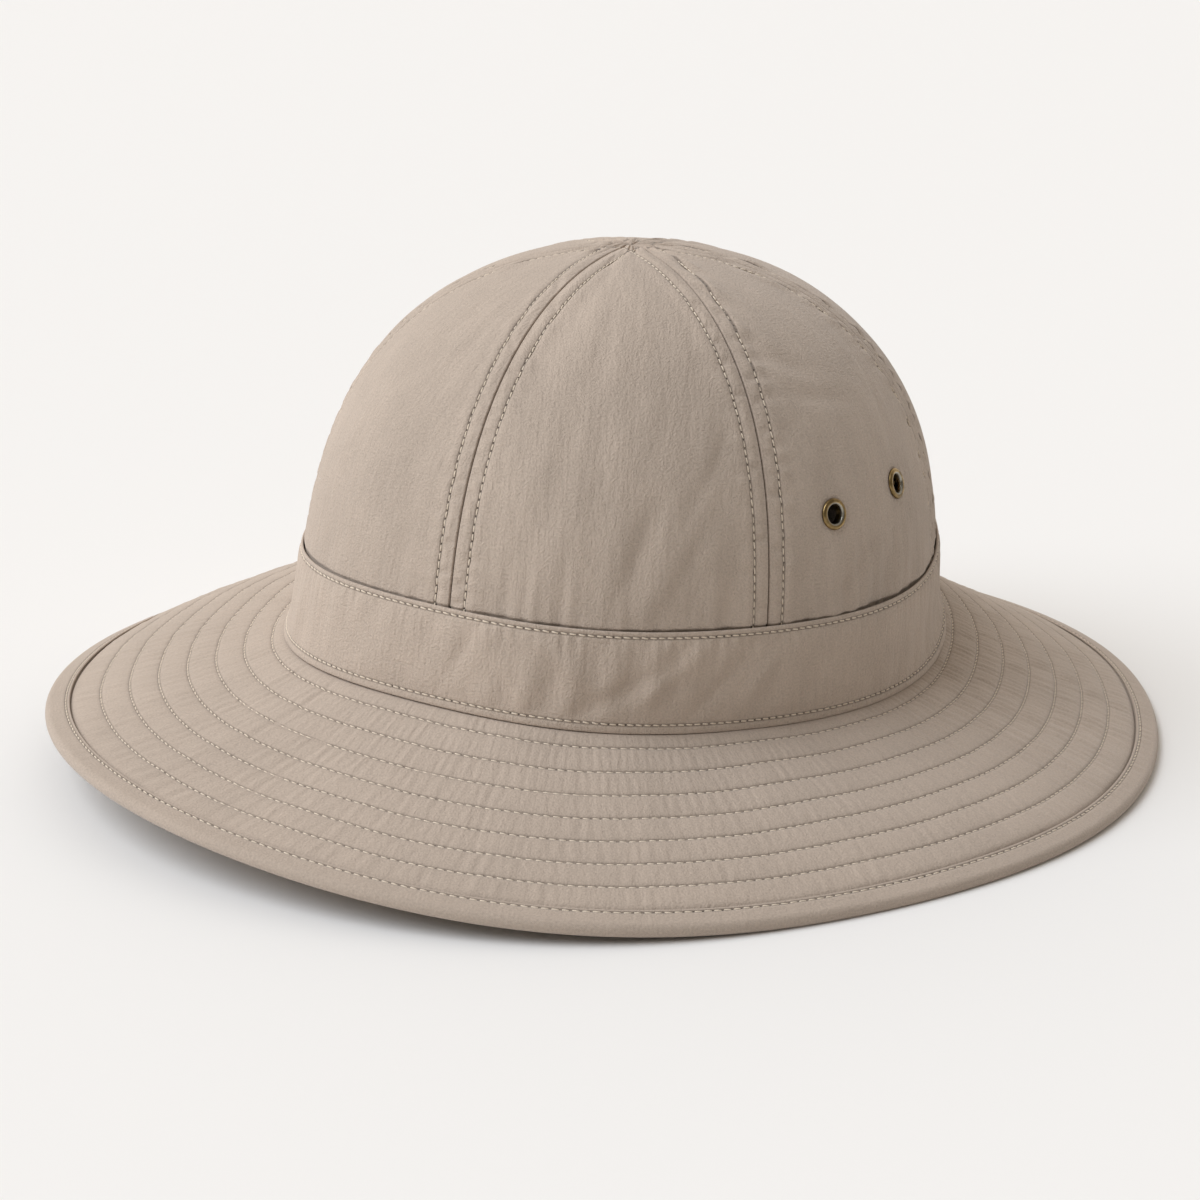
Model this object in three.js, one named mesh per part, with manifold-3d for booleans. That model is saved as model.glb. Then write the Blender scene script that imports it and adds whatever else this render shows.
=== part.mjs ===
// Wide-brim cloth hat: a crown of six panels, a band round its foot, a quilted brim with a bound edge, and
// two brass eyelets in each side panel. It rests on its brim on the plane z = 0.
// Millimetres, +Z up, the front of the hat towards -Y. An angle round the hat is 0 at the front and grows
// towards +X, the wearer's left.
import * as THREE from "three";
import { ParametricGeometry } from "three/addons/geometries/ParametricGeometry.js";
import { mergeVertices } from "three/addons/utils/BufferGeometryUtils.js";
import Module from "manifold-3d";

// Cloth
const GAP = 0.3; // between two sewn pieces
const PANEL_THICKNESS = 1.2;
const BAND_THICKNESS = 1.2; // two layers
const BRIM_THICKNESS = 1.6; // two layers and an interlining
const BINDING_THICKNESS = 1.0;

// Crown
const SEAMS = [4.5, 60.6, 113.5, 178.5, 243.5, 309]; // where the panels meet, in degrees round the hat
const FOOT_HALF_WIDTH = 83.9; // across X, where the crown meets the brim
const FOOT_HALF_LENGTH = 98.9; // along Y
const TOP_HALF_WIDTH = 89.7; // the oval that the profile rounds in towards at the top
const TOP_HALF_LENGTH = 92.4;
const TOP_TAPER = 0.06; // share of its reach that the profile has lost at the top
const TOP_LEAN = { x: -1.8, y: -0.7 }; // of the apex
const CROWN_HEIGHT = 104.6; // from the foot to the apex
const SIDE_FULLNESS = 3.17; // power of the profile: higher keeps the sides upright for longer
const TOP_FULLNESS = 2.08; // power of the profile: higher makes the top flatter
const PANEL_SWELL = 1; // how far the seams draw in, and the panels' middles stand out
const FLARE = 2.3; // how far the foot stands out past its oval
const FLARE_SHARE = 0.83; // share of the crown's height in which the flare fades out
const TIP_RADIUS = 0.8; // where the panels' points stop short of the apex

// Band
const BAND_HEIGHT = 25.3;
const BAND_OUTSIDE = GAP + BAND_THICKNESS; // from the crown
const STANDOFF = 0.5; // of the crown and the band over the brim

// Brim
const FOOT_HEIGHT = 30.1; // of the brim's top over the floor, at the crown's foot
const BRIM_WIDTH = 67.4; // from the band to the folded edge, along the cloth
const LIP = 5; // what turns in under the band and the crown
const BRIM_SLOPE = 23.8; // below level at the band, in degrees
const SLOPE_GAIN = -16.8; // what the slope gains evenly on the way out
const SLOPE_DROOP = 20.1; // what it gains more and more quickly towards the edge
const BINDING_WIDTH = 7.3;

// Waves round the hat. Each adds peak * cos(turns * (angle - crest)), with crest in degrees.
const FLARE_WAVES = [
  // of the flare, in millimetres
  { turns: 1, peak: 5.5, crest: 252 },
];
const HEIGHT_WAVES = [
  // of the crown's foot, in millimetres
  { turns: 1, peak: 3.4, crest: 256 },
  { turns: 2, peak: 3.3, crest: 1 },
];
const INNER_SLOPE_WAVES = [
  // of the brim's slope at the band, in degrees
  { turns: 1, peak: 6.8, crest: 87 },
  { turns: 2, peak: 9.6, crest: -6 },
  { turns: 3, peak: 1.5, crest: 30 },
];
const OUTER_SLOPE_WAVES = [
  // of what the slope gains between the band and the edge, in degrees
  { turns: 1, peak: 18.7, crest: 231 },
  { turns: 2, peak: 18.9, crest: 73 },
  { turns: 3, peak: 0.6, crest: -24 },
  { turns: 4, peak: 0.3, crest: 23 },
];

// Eyelets, two in each side panel
const EYELETS = [
  // angle in degrees round the hat, height over the crown's foot
  { name: "eyelet_left_front", angle: 74.7, height: 49.9 },
  { name: "eyelet_left_back", angle: 93.4, height: 52.4 },
  { name: "eyelet_right_back", angle: 266.6, height: 52.4 },
  { name: "eyelet_right_front", angle: 285.3, height: 49.9 },
];
const EYELET_HOLE_RADIUS = 2.35;
const EYELET_WALL = 0.4;
const EYELET_FLANGE_RADIUS = 4.05;
const EYELET_FLANGE_HEIGHT = 0.8;
const EYELET_SEAT = 0.45; // from the cloth to the flange on each side
const EYELET_SINK = 0.2; // of the eyelet into the round of the cloth

// Facets
const AROUND = 60; // round the whole hat
const PANEL_COLUMNS = 10; // across a panel
const PANEL_ROWS = 13; // from a panel's foot to its point
const BRIM_ROWS = 6;
const BAND_ROWS = 4;
const FOLD_STEPS = 5; // round the fold of the binding
const EYELET_STEPS = 24;

const CLOTH = { color: 0xb4a493, roughness: 0.9, metalness: 0 };
const BRASS = { color: 0x8a7342, roughness: 0.35, metalness: 1 };

const wasm = await Module();
wasm.setup();
const { degToRad, lerp } = THREE.MathUtils;

// --- Form of the hat

function wave(waves, angle) {
  return waves.reduce(
    (sum, { turns, peak, crest }) => sum + peak * Math.cos(turns * (angle - degToRad(crest))),
    0,
  );
}

function oval(angle, halfWidth, halfLength) {
  return new THREE.Vector3(halfWidth * Math.sin(angle), -halfLength * Math.cos(angle), 0);
}

// The level direction that faces away from the crown's foot.
function outward(angle) {
  return oval(angle, 1 / FOOT_HALF_WIDTH, 1 / FOOT_HALF_LENGTH).normalize();
}

function footHeight(angle) {
  return FOOT_HEIGHT + wave(HEIGHT_WAVES, angle);
}

// How far the crown stands out past its smooth oval: height goes from 0 at the foot to 1 at the apex.
function swellAt(angle, height) {
  const swell = -PANEL_SWELL * Math.cos(SEAMS.length * angle) * (1 - height ** 2);
  const flare = (FLARE + wave(FLARE_WAVES, angle)) * Math.max(1 - height / FLARE_SHARE, 0) ** 2;
  return swell + flare;
}

// The outline of the crown's foot, moved out by this much.
function footPoint(angle, out) {
  const point = oval(angle, FOOT_HALF_WIDTH, FOOT_HALF_LENGTH);
  return point.addScaledVector(outward(angle), out + swellAt(angle, 0));
}

// The crown's outside is a superellipse turned round an oval: rise goes from 0 at the foot to 1 at the apex.
function crownPoint(angle, rise) {
  const quarter = (rise * Math.PI) / 2;
  const height = Math.sin(quarter) ** (2 / SIDE_FULLNESS);
  const reach = Math.cos(quarter) ** (2 / TOP_FULLNESS) * (1 - TOP_TAPER * height);
  const point = oval(
    angle,
    reach * lerp(FOOT_HALF_WIDTH, TOP_HALF_WIDTH, height),
    reach * lerp(FOOT_HALF_LENGTH, TOP_HALF_LENGTH, height),
  );
  point.addScaledVector(outward(angle), swellAt(angle, height));
  point.x += TOP_LEAN.x * height;
  point.y += TOP_LEAN.y * height;
  point.z = STANDOFF + lerp(footHeight(angle), FOOT_HEIGHT, height) + height * CROWN_HEIGHT;
  return point;
}

// The rise at which the crown is this high over its foot.
function riseAt(height) {
  return (2 / Math.PI) * Math.asin((height / CROWN_HEIGHT) ** (SIDE_FULLNESS / 2));
}

function crownNormal(angle, rise) {
  const step = 1e-3;
  const along = crownPoint(angle + step, rise).sub(crownPoint(angle - step, rise));
  const up = crownPoint(angle, Math.min(rise + step, 1)).sub(crownPoint(angle, Math.max(rise - step, 0)));
  return along.cross(up).normalize();
}

function crownLayer(angle, rise, depth) {
  return crownPoint(angle, rise).addScaledVector(crownNormal(angle, rise), -depth);
}

// The brim's top runs outwards from the band along slopes that change with the part of its width. reach is
// along the cloth, and depth is under its top. The part inside the band is level.
function brimLayer(angle, reach, depth) {
  const part = Math.max(reach, 0) / BRIM_WIDTH;
  const inner = BRIM_SLOPE + wave(INNER_SLOPE_WAVES, angle);
  const gain = SLOPE_GAIN + wave(OUTER_SLOPE_WAVES, angle);
  const slopeHere = degToRad(reach > 0 ? inner + gain * part + SLOPE_DROOP * part ** 2 : 0);
  const slopeSoFar = degToRad(reach > 0 ? inner + (gain * part) / 2 + (SLOPE_DROOP * part ** 2) / 3 : 0);
  const level = reach * Math.cos(slopeSoFar) - depth * Math.sin(slopeHere);
  const point = footPoint(angle, BAND_OUTSIDE + level);
  point.z = footHeight(angle) - reach * Math.sin(slopeSoFar) - depth * Math.cos(slopeHere);
  return point;
}

// --- Closed geometry

// Bends a box into a piece of cloth: place(across, up, side) takes -0.5 to 0.5 on each of its axes.
function sheet(across, up, place) {
  const geometry = new THREE.BoxGeometry(1, 1, 1, across, up, 1);
  const position = geometry.getAttribute("position");
  for (let i = 0; i < position.count; i++) {
    const point = place(position.getX(i), position.getY(i), position.getZ(i));
    position.setXYZ(i, point.x, point.y, point.z);
  }
  return closed(geometry);
}

// Carries a closed section round the hat: place(angle, corner) puts each of its corners.
function ring(corners, place) {
  const surface = (u, v, target) => {
    const corner = corners[Math.round(v * corners.length) % corners.length];
    target.copy(place((u % 1) * 2 * Math.PI, corner));
  };
  return closed(new ParametricGeometry(surface, AROUND, corners.length));
}

function closed(geometry) {
  geometry.deleteAttribute("normal");
  geometry.deleteAttribute("uv");
  return mergeVertices(geometry, 1e-3);
}

function solidOf(geometry) {
  const { position } = geometry.attributes;
  const mesh = new wasm.Mesh({
    numProp: 3,
    vertProperties: new Float32Array(position.array),
    triVerts: new Uint32Array(geometry.index.array),
  });
  return new wasm.Manifold(mesh);
}

function geometryOf(solid) {
  const { vertProperties, triVerts } = solid.getMesh();
  return new THREE.BufferGeometry()
    .setAttribute("position", new THREE.BufferAttribute(vertProperties, 3))
    .setIndex(new THREE.BufferAttribute(triVerts, 1));
}

// --- Pieces

const hat = new THREE.Group();

function addPiece(name, geometry, finish) {
  geometry.computeVertexNormals();
  const mesh = new THREE.Mesh(geometry, new THREE.MeshStandardMaterial(finish));
  mesh.name = name;
  hat.add(mesh);
  return mesh;
}

const topRise = (2 / Math.PI) * Math.acos((TIP_RADIUS / TOP_HALF_WIDTH) ** (TOP_FULLNESS / 2));

// A panel between two seams, which stops half a gap short of each.
function panel(from, to) {
  return sheet(PANEL_COLUMNS, PANEL_ROWS, (across, up, side) => {
    const rise = topRise * (up + 0.5);
    const edge = crownPoint((from + to) / 2, rise);
    const seam = Math.asin(GAP / 2 / Math.hypot(edge.x - TOP_LEAN.x, edge.y - TOP_LEAN.y));
    const angle = lerp(from + seam, to - seam, across + 0.5);
    return crownLayer(angle, rise, PANEL_THICKNESS * (0.5 - side));
  });
}

// Where an eyelet stands: its place on the cloth's outside and the direction that it faces.
function eyeletSeat(angle, height) {
  const rise = riseAt(height);
  return { centre: crownLayer(angle, rise, EYELET_SINK), facing: crownNormal(angle, rise) };
}

function stand(geometry, { centre, facing }) {
  const turn = new THREE.Quaternion().setFromUnitVectors(new THREE.Vector3(0, 1, 0), facing);
  return geometry.applyQuaternion(turn).translate(centre.x, centre.y, centre.z);
}

function pierce(geometry, seats) {
  const radius = EYELET_HOLE_RADIUS + EYELET_WALL + GAP;
  const punches = seats.map((seat) => {
    const punch = new THREE.CylinderGeometry(radius, radius, 6 * PANEL_THICKNESS, EYELET_STEPS);
    return solidOf(closed(stand(punch, seat)));
  });
  return geometryOf(punches.reduce((cloth, punch) => cloth.subtract(punch), solidOf(geometry)));
}

// A turned ring: a barrel through the cloth, with a rolled flange on each side of it.
function eyelet() {
  const seat = EYELET_SEAT;
  const top = seat + EYELET_FLANGE_HEIGHT;
  const back = -PANEL_THICKNESS - seat;
  const bore = EYELET_HOLE_RADIUS;
  const barrel = bore + EYELET_WALL;
  const crest = (bore + EYELET_FLANGE_RADIUS) / 2;
  const profile = [
    [bore, back - EYELET_FLANGE_HEIGHT / 2],
    [EYELET_FLANGE_RADIUS, back - EYELET_FLANGE_HEIGHT / 2],
    [EYELET_FLANGE_RADIUS, back],
    [barrel, back],
    [barrel, seat],
    [EYELET_FLANGE_RADIUS, seat],
    [lerp(crest, EYELET_FLANGE_RADIUS, 0.7), lerp(seat, top, 0.8)],
    [crest, top],
    [lerp(crest, bore, 0.7), lerp(seat, top, 0.8)],
    [bore, seat],
    [bore, back - EYELET_FLANGE_HEIGHT / 2],
  ];
  const points = profile.map(([radius, height]) => new THREE.Vector2(radius, height));
  return new THREE.LatheGeometry(points, EYELET_STEPS);
}

SEAMS.forEach((seam, i) => {
  const [from, to] = [seam, SEAMS[i + 1] ?? SEAMS[0] + 360];
  const inPanel = EYELETS.filter(({ angle }) => from < angle && angle < to);
  const seats = inPanel.map(({ angle, height }) => eyeletSeat(degToRad(angle), height));
  const whole = panel(degToRad(from), degToRad(to));
  addPiece(`crown_panel_${i + 1}`, seats.length ? pierce(whole, seats) : whole, CLOTH);
  inPanel.forEach(({ name }, j) => addPiece(name, closed(stand(eyelet(), seats[j])), BRASS));
});

function band() {
  const corners = [];
  for (let i = 0; i <= BAND_ROWS; i++) {
    corners.push({ height: (BAND_HEIGHT * i) / BAND_ROWS, depth: -GAP - BAND_THICKNESS });
  }
  for (let i = BAND_ROWS; i >= 0; i--) {
    corners.push({ height: (BAND_HEIGHT * i) / BAND_ROWS, depth: -GAP });
  }
  return ring(corners, (angle, { height, depth }) => crownLayer(angle, riseAt(height), depth));
}

function brim() {
  const rawEdge = BRIM_WIDTH - BRIM_THICKNESS / 2 - GAP - BINDING_THICKNESS;
  const bare = BRIM_WIDTH - BINDING_WIDTH;
  const reaches = [-LIP];
  for (let i = 0; i <= BRIM_ROWS; i++) {
    reaches.push((bare * i) / BRIM_ROWS);
  }
  reaches.push(rawEdge);
  const top = reaches.map((reach) => ({ reach, depth: 0 }));
  const underside = reaches.map((reach) => ({ reach, depth: BRIM_THICKNESS }));
  return ring([...underside, ...top.reverse()], (angle, { reach, depth }) => brimLayer(angle, reach, depth));
}

// The binding is folded round the brim's raw edge. Where it meets the floor it is pressed flat.
function binding() {
  const middle = BRIM_THICKNESS / 2;
  const inside = middle + GAP;
  const outside = inside + BINDING_THICKNESS;
  const fold = BRIM_WIDTH - outside;
  const foldCorners = (radius) => {
    const corners = [{ reach: BRIM_WIDTH - BINDING_WIDTH, depth: middle - radius }];
    for (let i = 0; i <= FOLD_STEPS; i++) {
      const turn = (Math.PI * i) / FOLD_STEPS;
      corners.push({ reach: fold + radius * Math.sin(turn), depth: middle - radius * Math.cos(turn) });
    }
    corners.push({ reach: BRIM_WIDTH - BINDING_WIDTH, depth: middle + radius });
    return corners;
  };
  const corners = [...foldCorners(inside), ...foldCorners(outside).reverse()];
  return ring(corners, (angle, { reach, depth }) => {
    const point = brimLayer(angle, reach, depth);
    point.z = Math.max(point.z, 0);
    return point;
  });
}

addPiece("band", band(), CLOTH);
addPiece("brim", brim(), CLOTH);
addPiece("brim_binding", binding(), CLOTH);

// The origin lies under the middle of the hat.
const middle = new THREE.Box3().setFromObject(hat).getCenter(new THREE.Vector3());
hat.position.set(-middle.x, -middle.y, 0);

export default hat;
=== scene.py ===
"""A wide-brim cloth hat at rest on the floor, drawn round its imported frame.

The crown has six panels with pressed-open, topstitched seams. A band covers its foot, and the quilted brim
has a bound edge. Two brass eyelets air each side panel. Lengths are in millimetres until they reach a mesh,
and angles run round the hat from 0 at its front towards +X.
"""

import math

import bpy
import numpy as np
from bpy.props import FloatProperty, FloatVectorProperty, IntProperty, PointerProperty
from mathutils import Matrix, Vector


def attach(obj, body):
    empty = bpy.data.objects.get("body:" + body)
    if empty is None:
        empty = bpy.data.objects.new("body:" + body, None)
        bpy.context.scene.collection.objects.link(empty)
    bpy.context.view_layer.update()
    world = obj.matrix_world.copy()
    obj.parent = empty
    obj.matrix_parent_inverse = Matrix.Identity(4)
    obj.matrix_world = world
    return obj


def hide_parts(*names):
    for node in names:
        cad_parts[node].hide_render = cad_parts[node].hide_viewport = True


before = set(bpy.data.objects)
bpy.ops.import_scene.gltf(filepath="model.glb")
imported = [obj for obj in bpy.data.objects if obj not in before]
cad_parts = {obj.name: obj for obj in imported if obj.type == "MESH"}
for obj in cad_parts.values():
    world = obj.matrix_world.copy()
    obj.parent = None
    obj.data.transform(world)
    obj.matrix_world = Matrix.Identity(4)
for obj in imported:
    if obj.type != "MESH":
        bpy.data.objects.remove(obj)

bl_info = {
    "name": "Wide-brim cloth hat",
    "version": (1, 0, 0),
    "blender": (4, 5, 0),
    "location": "3D Viewport > Sidebar > Hat",
    "description": "Makes the hat's panels, band, brim, binding, stitching, eyelets and stage",
    "category": "Add Mesh",
}

TAU = 2 * math.pi
METRES = 0.001  # in a millimetre

# --- Sizes shared with the frame

AXIS = (4.563, 0.927)  # where the crown's axis stands
SEAMS = np.radians([4.5, 60.6, 113.5, 178.5, 243.5, 309])
PANEL_COUNT = len(SEAMS)
FOOT_HALF = (83.9, 98.9)  # half sizes of the crown's oval at its foot, across X and along Y
TOP_HALF = (89.7, 92.4)  # and at its top
TOP_TAPER = 0.06  # share that the top draws in
TOP_LEAN = (-1.8, -0.7)  # how far the apex stands from the foot's axis
CROWN_HEIGHT = 104.6
SIDE_FULLNESS = 3.17  # powers of the superellipse: 2 is round, and more is squarer
TOP_FULLNESS = 2.08
PANEL_SWELL = 1.0  # how far a panel's middle stands past the oval, and a seam within it
FLARE = 2.3  # how far the foot kicks out
FLARE_SHARE = 0.83  # share of the height where the flare begins
STANDOFF = 0.5  # gap between the frame's panels and its brim, which the cloth closes
BAND_HEIGHT = 25.3
BAND_OUTSIDE = 1.5  # from the crown's outside to the band's, at its foot
BAND_LEAN = 0.6  # how much less that is at its top
KICK_FROM = 1.6  # what the band's foot kicks out past this also runs down the brim
KICK_HEIGHT = 7  # height up to which it kicks
FOOT_HEIGHT = 30.1  # of the crown over the floor
BRIM_WIDTH = 67.4
BRIM_SLOPE = 23.8  # degrees down at the band
SLOPE_GAIN = -16.8  # added in proportion to the share of the width
SLOPE_DROOP = 20.1  # added in proportion to its square
BRIM_THICKNESS = 1.6

# (turns round the hat, peak, crest in degrees)
FLARE_WAVES = [(1, 5.5, 252)]
HEIGHT_WAVES = [(1, 3.4, 256), (2, 3.3, 1)]
INNER_SLOPE_WAVES = [(1, 6.8, 87), (2, 9.6, -6), (3, 1.5, 30)]
OUTER_SLOPE_WAVES = [(1, 18.7, 231), (2, 18.9, 73), (3, 0.6, -24), (4, 0.3, 23)]

# name, angle in degrees, height over the crown's foot
EYELETS = [
    ("eyelet_left_front", 74.7, 49.9),
    ("eyelet_left_back", 93.4, 52.4),
    ("eyelet_right_back", 266.6, 52.4),
    ("eyelet_right_front", 285.3, 49.9),
]
EYELET_SINK = 0.2
EYELET_HOLE = 3.0  # radius of the hole in the cloth
EYELET_CALM = 6  # radius round an eyelet in which the cloth lies smooth
EYELET_DIMPLE = 0.3  # how deep the eyelet presses it in

# --- Sizes of the cloth work

SEAM_FOLD = 0.5  # radius of the cloth's fold into a seam
TOPSTITCH = 4.3  # from a seam to each row of topstitching
ALLOWANCE = 8.0  # width of each seam allowance on the inside
ROW_FIRST = 4.5  # from the band to the brim's first row
ROW_SPACING = 7.94
ROW_COUNT = 7
BAND_TOP = 25.2  # height of the band's folded edge
BAND_FOOT = -0.42  # height of its folded foot
BAND_ROWS = (1.9, BAND_TOP - 1.45)  # heights of its two rows of stitches
BINDING_EDGE = 60.45  # reach of the binding's folded edge
BINDING_ROW = 61.5  # reach of the row that holds the binding
BINDING_LEVEL = 1.42  # how far its face stands off the brim's middle there
BINDING_BULGE = 1.9  # radius at which the binding turns round the brim's raw edge
BRIM_RAW_EDGE = BRIM_WIDTH - 2.4  # reach at which the brim's two layers end, inside the binding
BRIM_START = -5.0  # reach at which they begin, under the band
PANEL_THICKNESS = 1.15
ALLOWANCE_THICKNESS = 0.6
CLOTH_THICKNESS = 0.55  # one layer of the brim
CHANNEL_DEPTH = 0.3  # how deep a row of stitches draws the cloth in
CHANNEL_WIDTH = 0.42  # and over what width to each side
STITCH_SHARE = 0.8  # of a pitch that is thread
BAND_FACES = 1400  # faces round the hat
BINDING_FACES = 1500
UNDERSIDE_FACES = 900

# Soft folds, a row each: angle and height of the middle, tilt of the ridge in degrees, upwards as it runs
# round the hat, half its length, half its width, and its height, which is below 0 in a dent
CROWN_FOLDS = [
    (19, 82, 66, 22, 8, 0.5),
    (38, 47, 62, 15, 3, -0.55),
    (45, 38, 58, 13, 2.6, -0.55),
    (50, 61, 52, 10, 2.2, -0.45),
    (33, 36, 70, 9, 2.2, 0.3),
    (14, 40, 84, 20, 4, -0.3),
    (70, 85, -14, 17, 2.4, -0.8),
    (78, 75, -10, 14, 2.2, -0.6),
    (66, 68, 20, 8, 2, -0.3),
    (98, 70, 66, 10, 2.4, -0.55),
    (78, 31, 38, 12, 1.9, -0.42),
    (67, 34, 50, 8, 1.7, -0.32),
    (352, 52, 100, 18, 5, -0.25),
    (330, 62, 60, 20, 6, 0.3),
]
BAND_FOLDS = [
    (27, 15, -35, 9, 2.4, 0.8),
    (34, 9, 30, 13, 2.2, -0.85),
    (43, 14, 38, 12, 2.3, 0.8),
    (52, 12, 46, 10, 2.0, -0.8),
    (60, 14, 50, 8, 2.0, 0.6),
    (8, 15, 60, 8, 2.2, -0.45),
    (17, 11, -55, 8, 2.4, 0.4),
    (70, 11, 55, 8, 1.8, -0.5),
    (-14, 13, 70, 8, 2.6, -0.25),
    (-34, 12, 60, 9, 3, 0.25),
]

# Waves in the cloth: seed, turns round the hat, turns a millimetre upwards or outwards, size
RIPPLES = {
    "crown sway": (5, (4, 13), (-0.012, 0.012), 0.13),
    "crown wrinkle": (6, (26, 60), (-0.03, 0.01), 0.055),
    "crown slant": (9, (12, 34), (-0.045, -0.008), 0.11),
    "crown crinkle": (8, (60, 130), (-0.014, 0.008), 0.1),
    "seam pucker": (31, (6, 30), (0.09, 0.26), 0.12),
    "seam nip": (33, (6, 30), (0.14, 0.3), 1),
    "band sway": (43, (5, 16), (-0.02, 0.02), 0.16),
    "band slant": (41, (20, 60), (-0.05, 0.02), 1),
    "band top": (45, (90, 210), (-0.02, 0.02), 1),
    "band foot": (47, (90, 190), (-0.02, 0.02), 1),
    "brim sway": (27, (7, 20), (-0.008, 0.008), 0.1),
    "brim broad": (24, (36, 90), (-0.012, 0.012), 1),
    "brim lane": (60, (150, 290), (-0.03, 0.03), 1),
    "brim radial": (90, (110, 210), (-0.006, 0.006), 1),
    "binding broad": (57, (30, 80), (-0.03, 0.03), 0.04),
    "binding cross": (53, (120, 260), (-0.05, 0.05), 0.035),
}

# Where the cloth is livelier: middle and spread in degrees
REGIONS = {
    "crown front left": (52, 46),
    "crown left": (70, 10),
    "crown back left": (122, 16),
    "band front left": (38, 30),
    "band left": (118, 24),
    "band right": (300, 30),
    "brim left": (108, 26),
    "brim right": (302, 34),
    "brim front right": (320, 40),
    "binding left": (105, 35),
}

# finish: its grain's map, clouding, crinkle, nap, strength of the painted shade at its needle holes and
# along its rows, share of the cloth's colour
COTTONS = {
    "Crown cotton": ("cloth", 0.33, 1.7, 1.9, 0.85, 1.05),
    # The band's share of the cloth's colour, 1.1, is painted light: a lighter copy of the cotton for its
    # upright face
    "Band cotton": ("cloth", 0.28, 2.0, 1.8, 0.85, 1.1),
    "Brim cotton": ("grain", 0.22, 1.5, 1.0, 0.6, 1.0),
    "Binding cotton": ("cloth", 0.15, 0.7, 1.0, 0.85, 1.0),
}

# --- Stage

CAMERA_YAW, CAMERA_DIP, CAMERA_ROLL = 0.722, 17.405, 0.8  # degrees past the axis, down and rolled
KEY_FROM = (-1, -0.35, 1.05)  # where the soft light stands: to the camera's right, ahead, and up
KEY_COLOUR = (0.838, 0.908, 1.0)
ROOM_SHADED = (0.54, -0.92, 0.18)  # where the room is darkest: to the right, level ahead, and up
ROOM_COLOUR = (1.0, 0.924, 0.838, 1)
ROOM_SEEN = 0.88  # how bright the room looks to the camera
FLOOR_COLOUR = (0.88, 0.87, 0.855, 1)
FLOOR_HALF = 40000


# --- Form of the hat


def wave(waves, angle):
    """The sum of peak * cos(turns * (angle - crest))."""
    return sum(peak * np.cos(turns * (angle - math.radians(crest))) for turns, peak, crest in waves)


def oval(angle, half_width, half_length):
    """The point (half_width * sin(angle), -half_length * cos(angle), 0)."""
    x, y = half_width * np.sin(angle), -half_length * np.cos(angle)
    return np.stack([x, y, np.zeros_like(x)], axis=-1)


def unit(vectors):
    """Each vector over its own length."""
    return vectors / np.maximum(np.linalg.norm(vectors, axis=-1, keepdims=True), 1e-12)


def outward(angle):
    """The level direction that is square to the foot's oval."""
    return unit(oval(angle, 1 / FOOT_HALF[0], 1 / FOOT_HALF[1]))


def foot_height(angle):
    """Height of the crown's foot over the floor: its mean and its waves."""
    return FOOT_HEIGHT + wave(HEIGHT_WAVES, angle)


def swell(angle, height):
    """How far the crown stands out past its oval: panels between the seams, and the foot's flare, whose
    share of the height left to FLARE_SHARE is squared."""
    panels = -PANEL_SWELL * np.cos(PANEL_COUNT * angle) * (1 - height**2)
    flare = (FLARE + wave(FLARE_WAVES, angle)) * np.maximum(1 - height / FLARE_SHARE, 0) ** 2
    return panels + flare


def crown_point(angle, rise):
    """A superellipse profile turned round an oval. Its height is sin(rise * 90 deg) ** (2 / side fullness),
    and its reach is cos(rise * 90 deg) ** (2 / top fullness), less a taper that grows with the height."""
    angle, rise = np.broadcast_arrays(np.asarray(angle, float), np.asarray(rise, float))
    quarter = rise * math.pi / 2
    height = np.sin(quarter) ** (2 / SIDE_FULLNESS)
    reach = np.maximum(np.cos(quarter), 0) ** (2 / TOP_FULLNESS) * (1 - TOP_TAPER * height)
    half = [reach * (foot + (top - foot) * height) for foot, top in zip(FOOT_HALF, TOP_HALF)]
    point = oval(angle, *half) + outward(angle) * swell(angle, height)[..., None]
    point[..., 0] += TOP_LEAN[0] * height
    point[..., 1] += TOP_LEAN[1] * height
    base = foot_height(angle)
    point[..., 2] = STANDOFF + base + (FOOT_HEIGHT - base) * height + height * CROWN_HEIGHT
    return point


def rise_at(height):
    """The rise at which the crown is this high over its foot."""
    return 2 / math.pi * np.arcsin((np.asarray(height, float) / CROWN_HEIGHT) ** (SIDE_FULLNESS / 2))


def crown_normal(angle, rise):
    """The cross product of a small step round the crown and a small step up it."""
    step = 1e-3
    rise = np.clip(rise, 0, 1 - 1.5 * step)
    along = crown_point(angle + step, rise) - crown_point(angle - step, rise)
    up = crown_point(angle, rise + step) - crown_point(angle, np.maximum(rise - step, 0))
    return unit(np.cross(along, up))


def crown_layer(angle, rise, out):
    """The crown's smooth outside, moved out along its normal."""
    return crown_point(angle, rise) + crown_normal(angle, rise) * np.asarray(out, float)[..., None]


def band_layer(angle, height, out):
    """The crown's outside, moved out. Below the crown's foot it goes straight down, and what the foot
    kicks out past KICK_FROM it also goes down, along the brim's slope."""
    point = crown_layer(angle, rise_at(np.maximum(height, 0)), out)
    slope = np.tan(np.radians(BRIM_SLOPE + wave(INNER_SLOPE_WAVES, angle)))
    kicked = np.maximum(out - KICK_FROM, 0) * ease(KICK_HEIGHT, 0, height)
    point[..., 2] += np.minimum(height, 0) - slope * kicked
    return point


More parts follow.
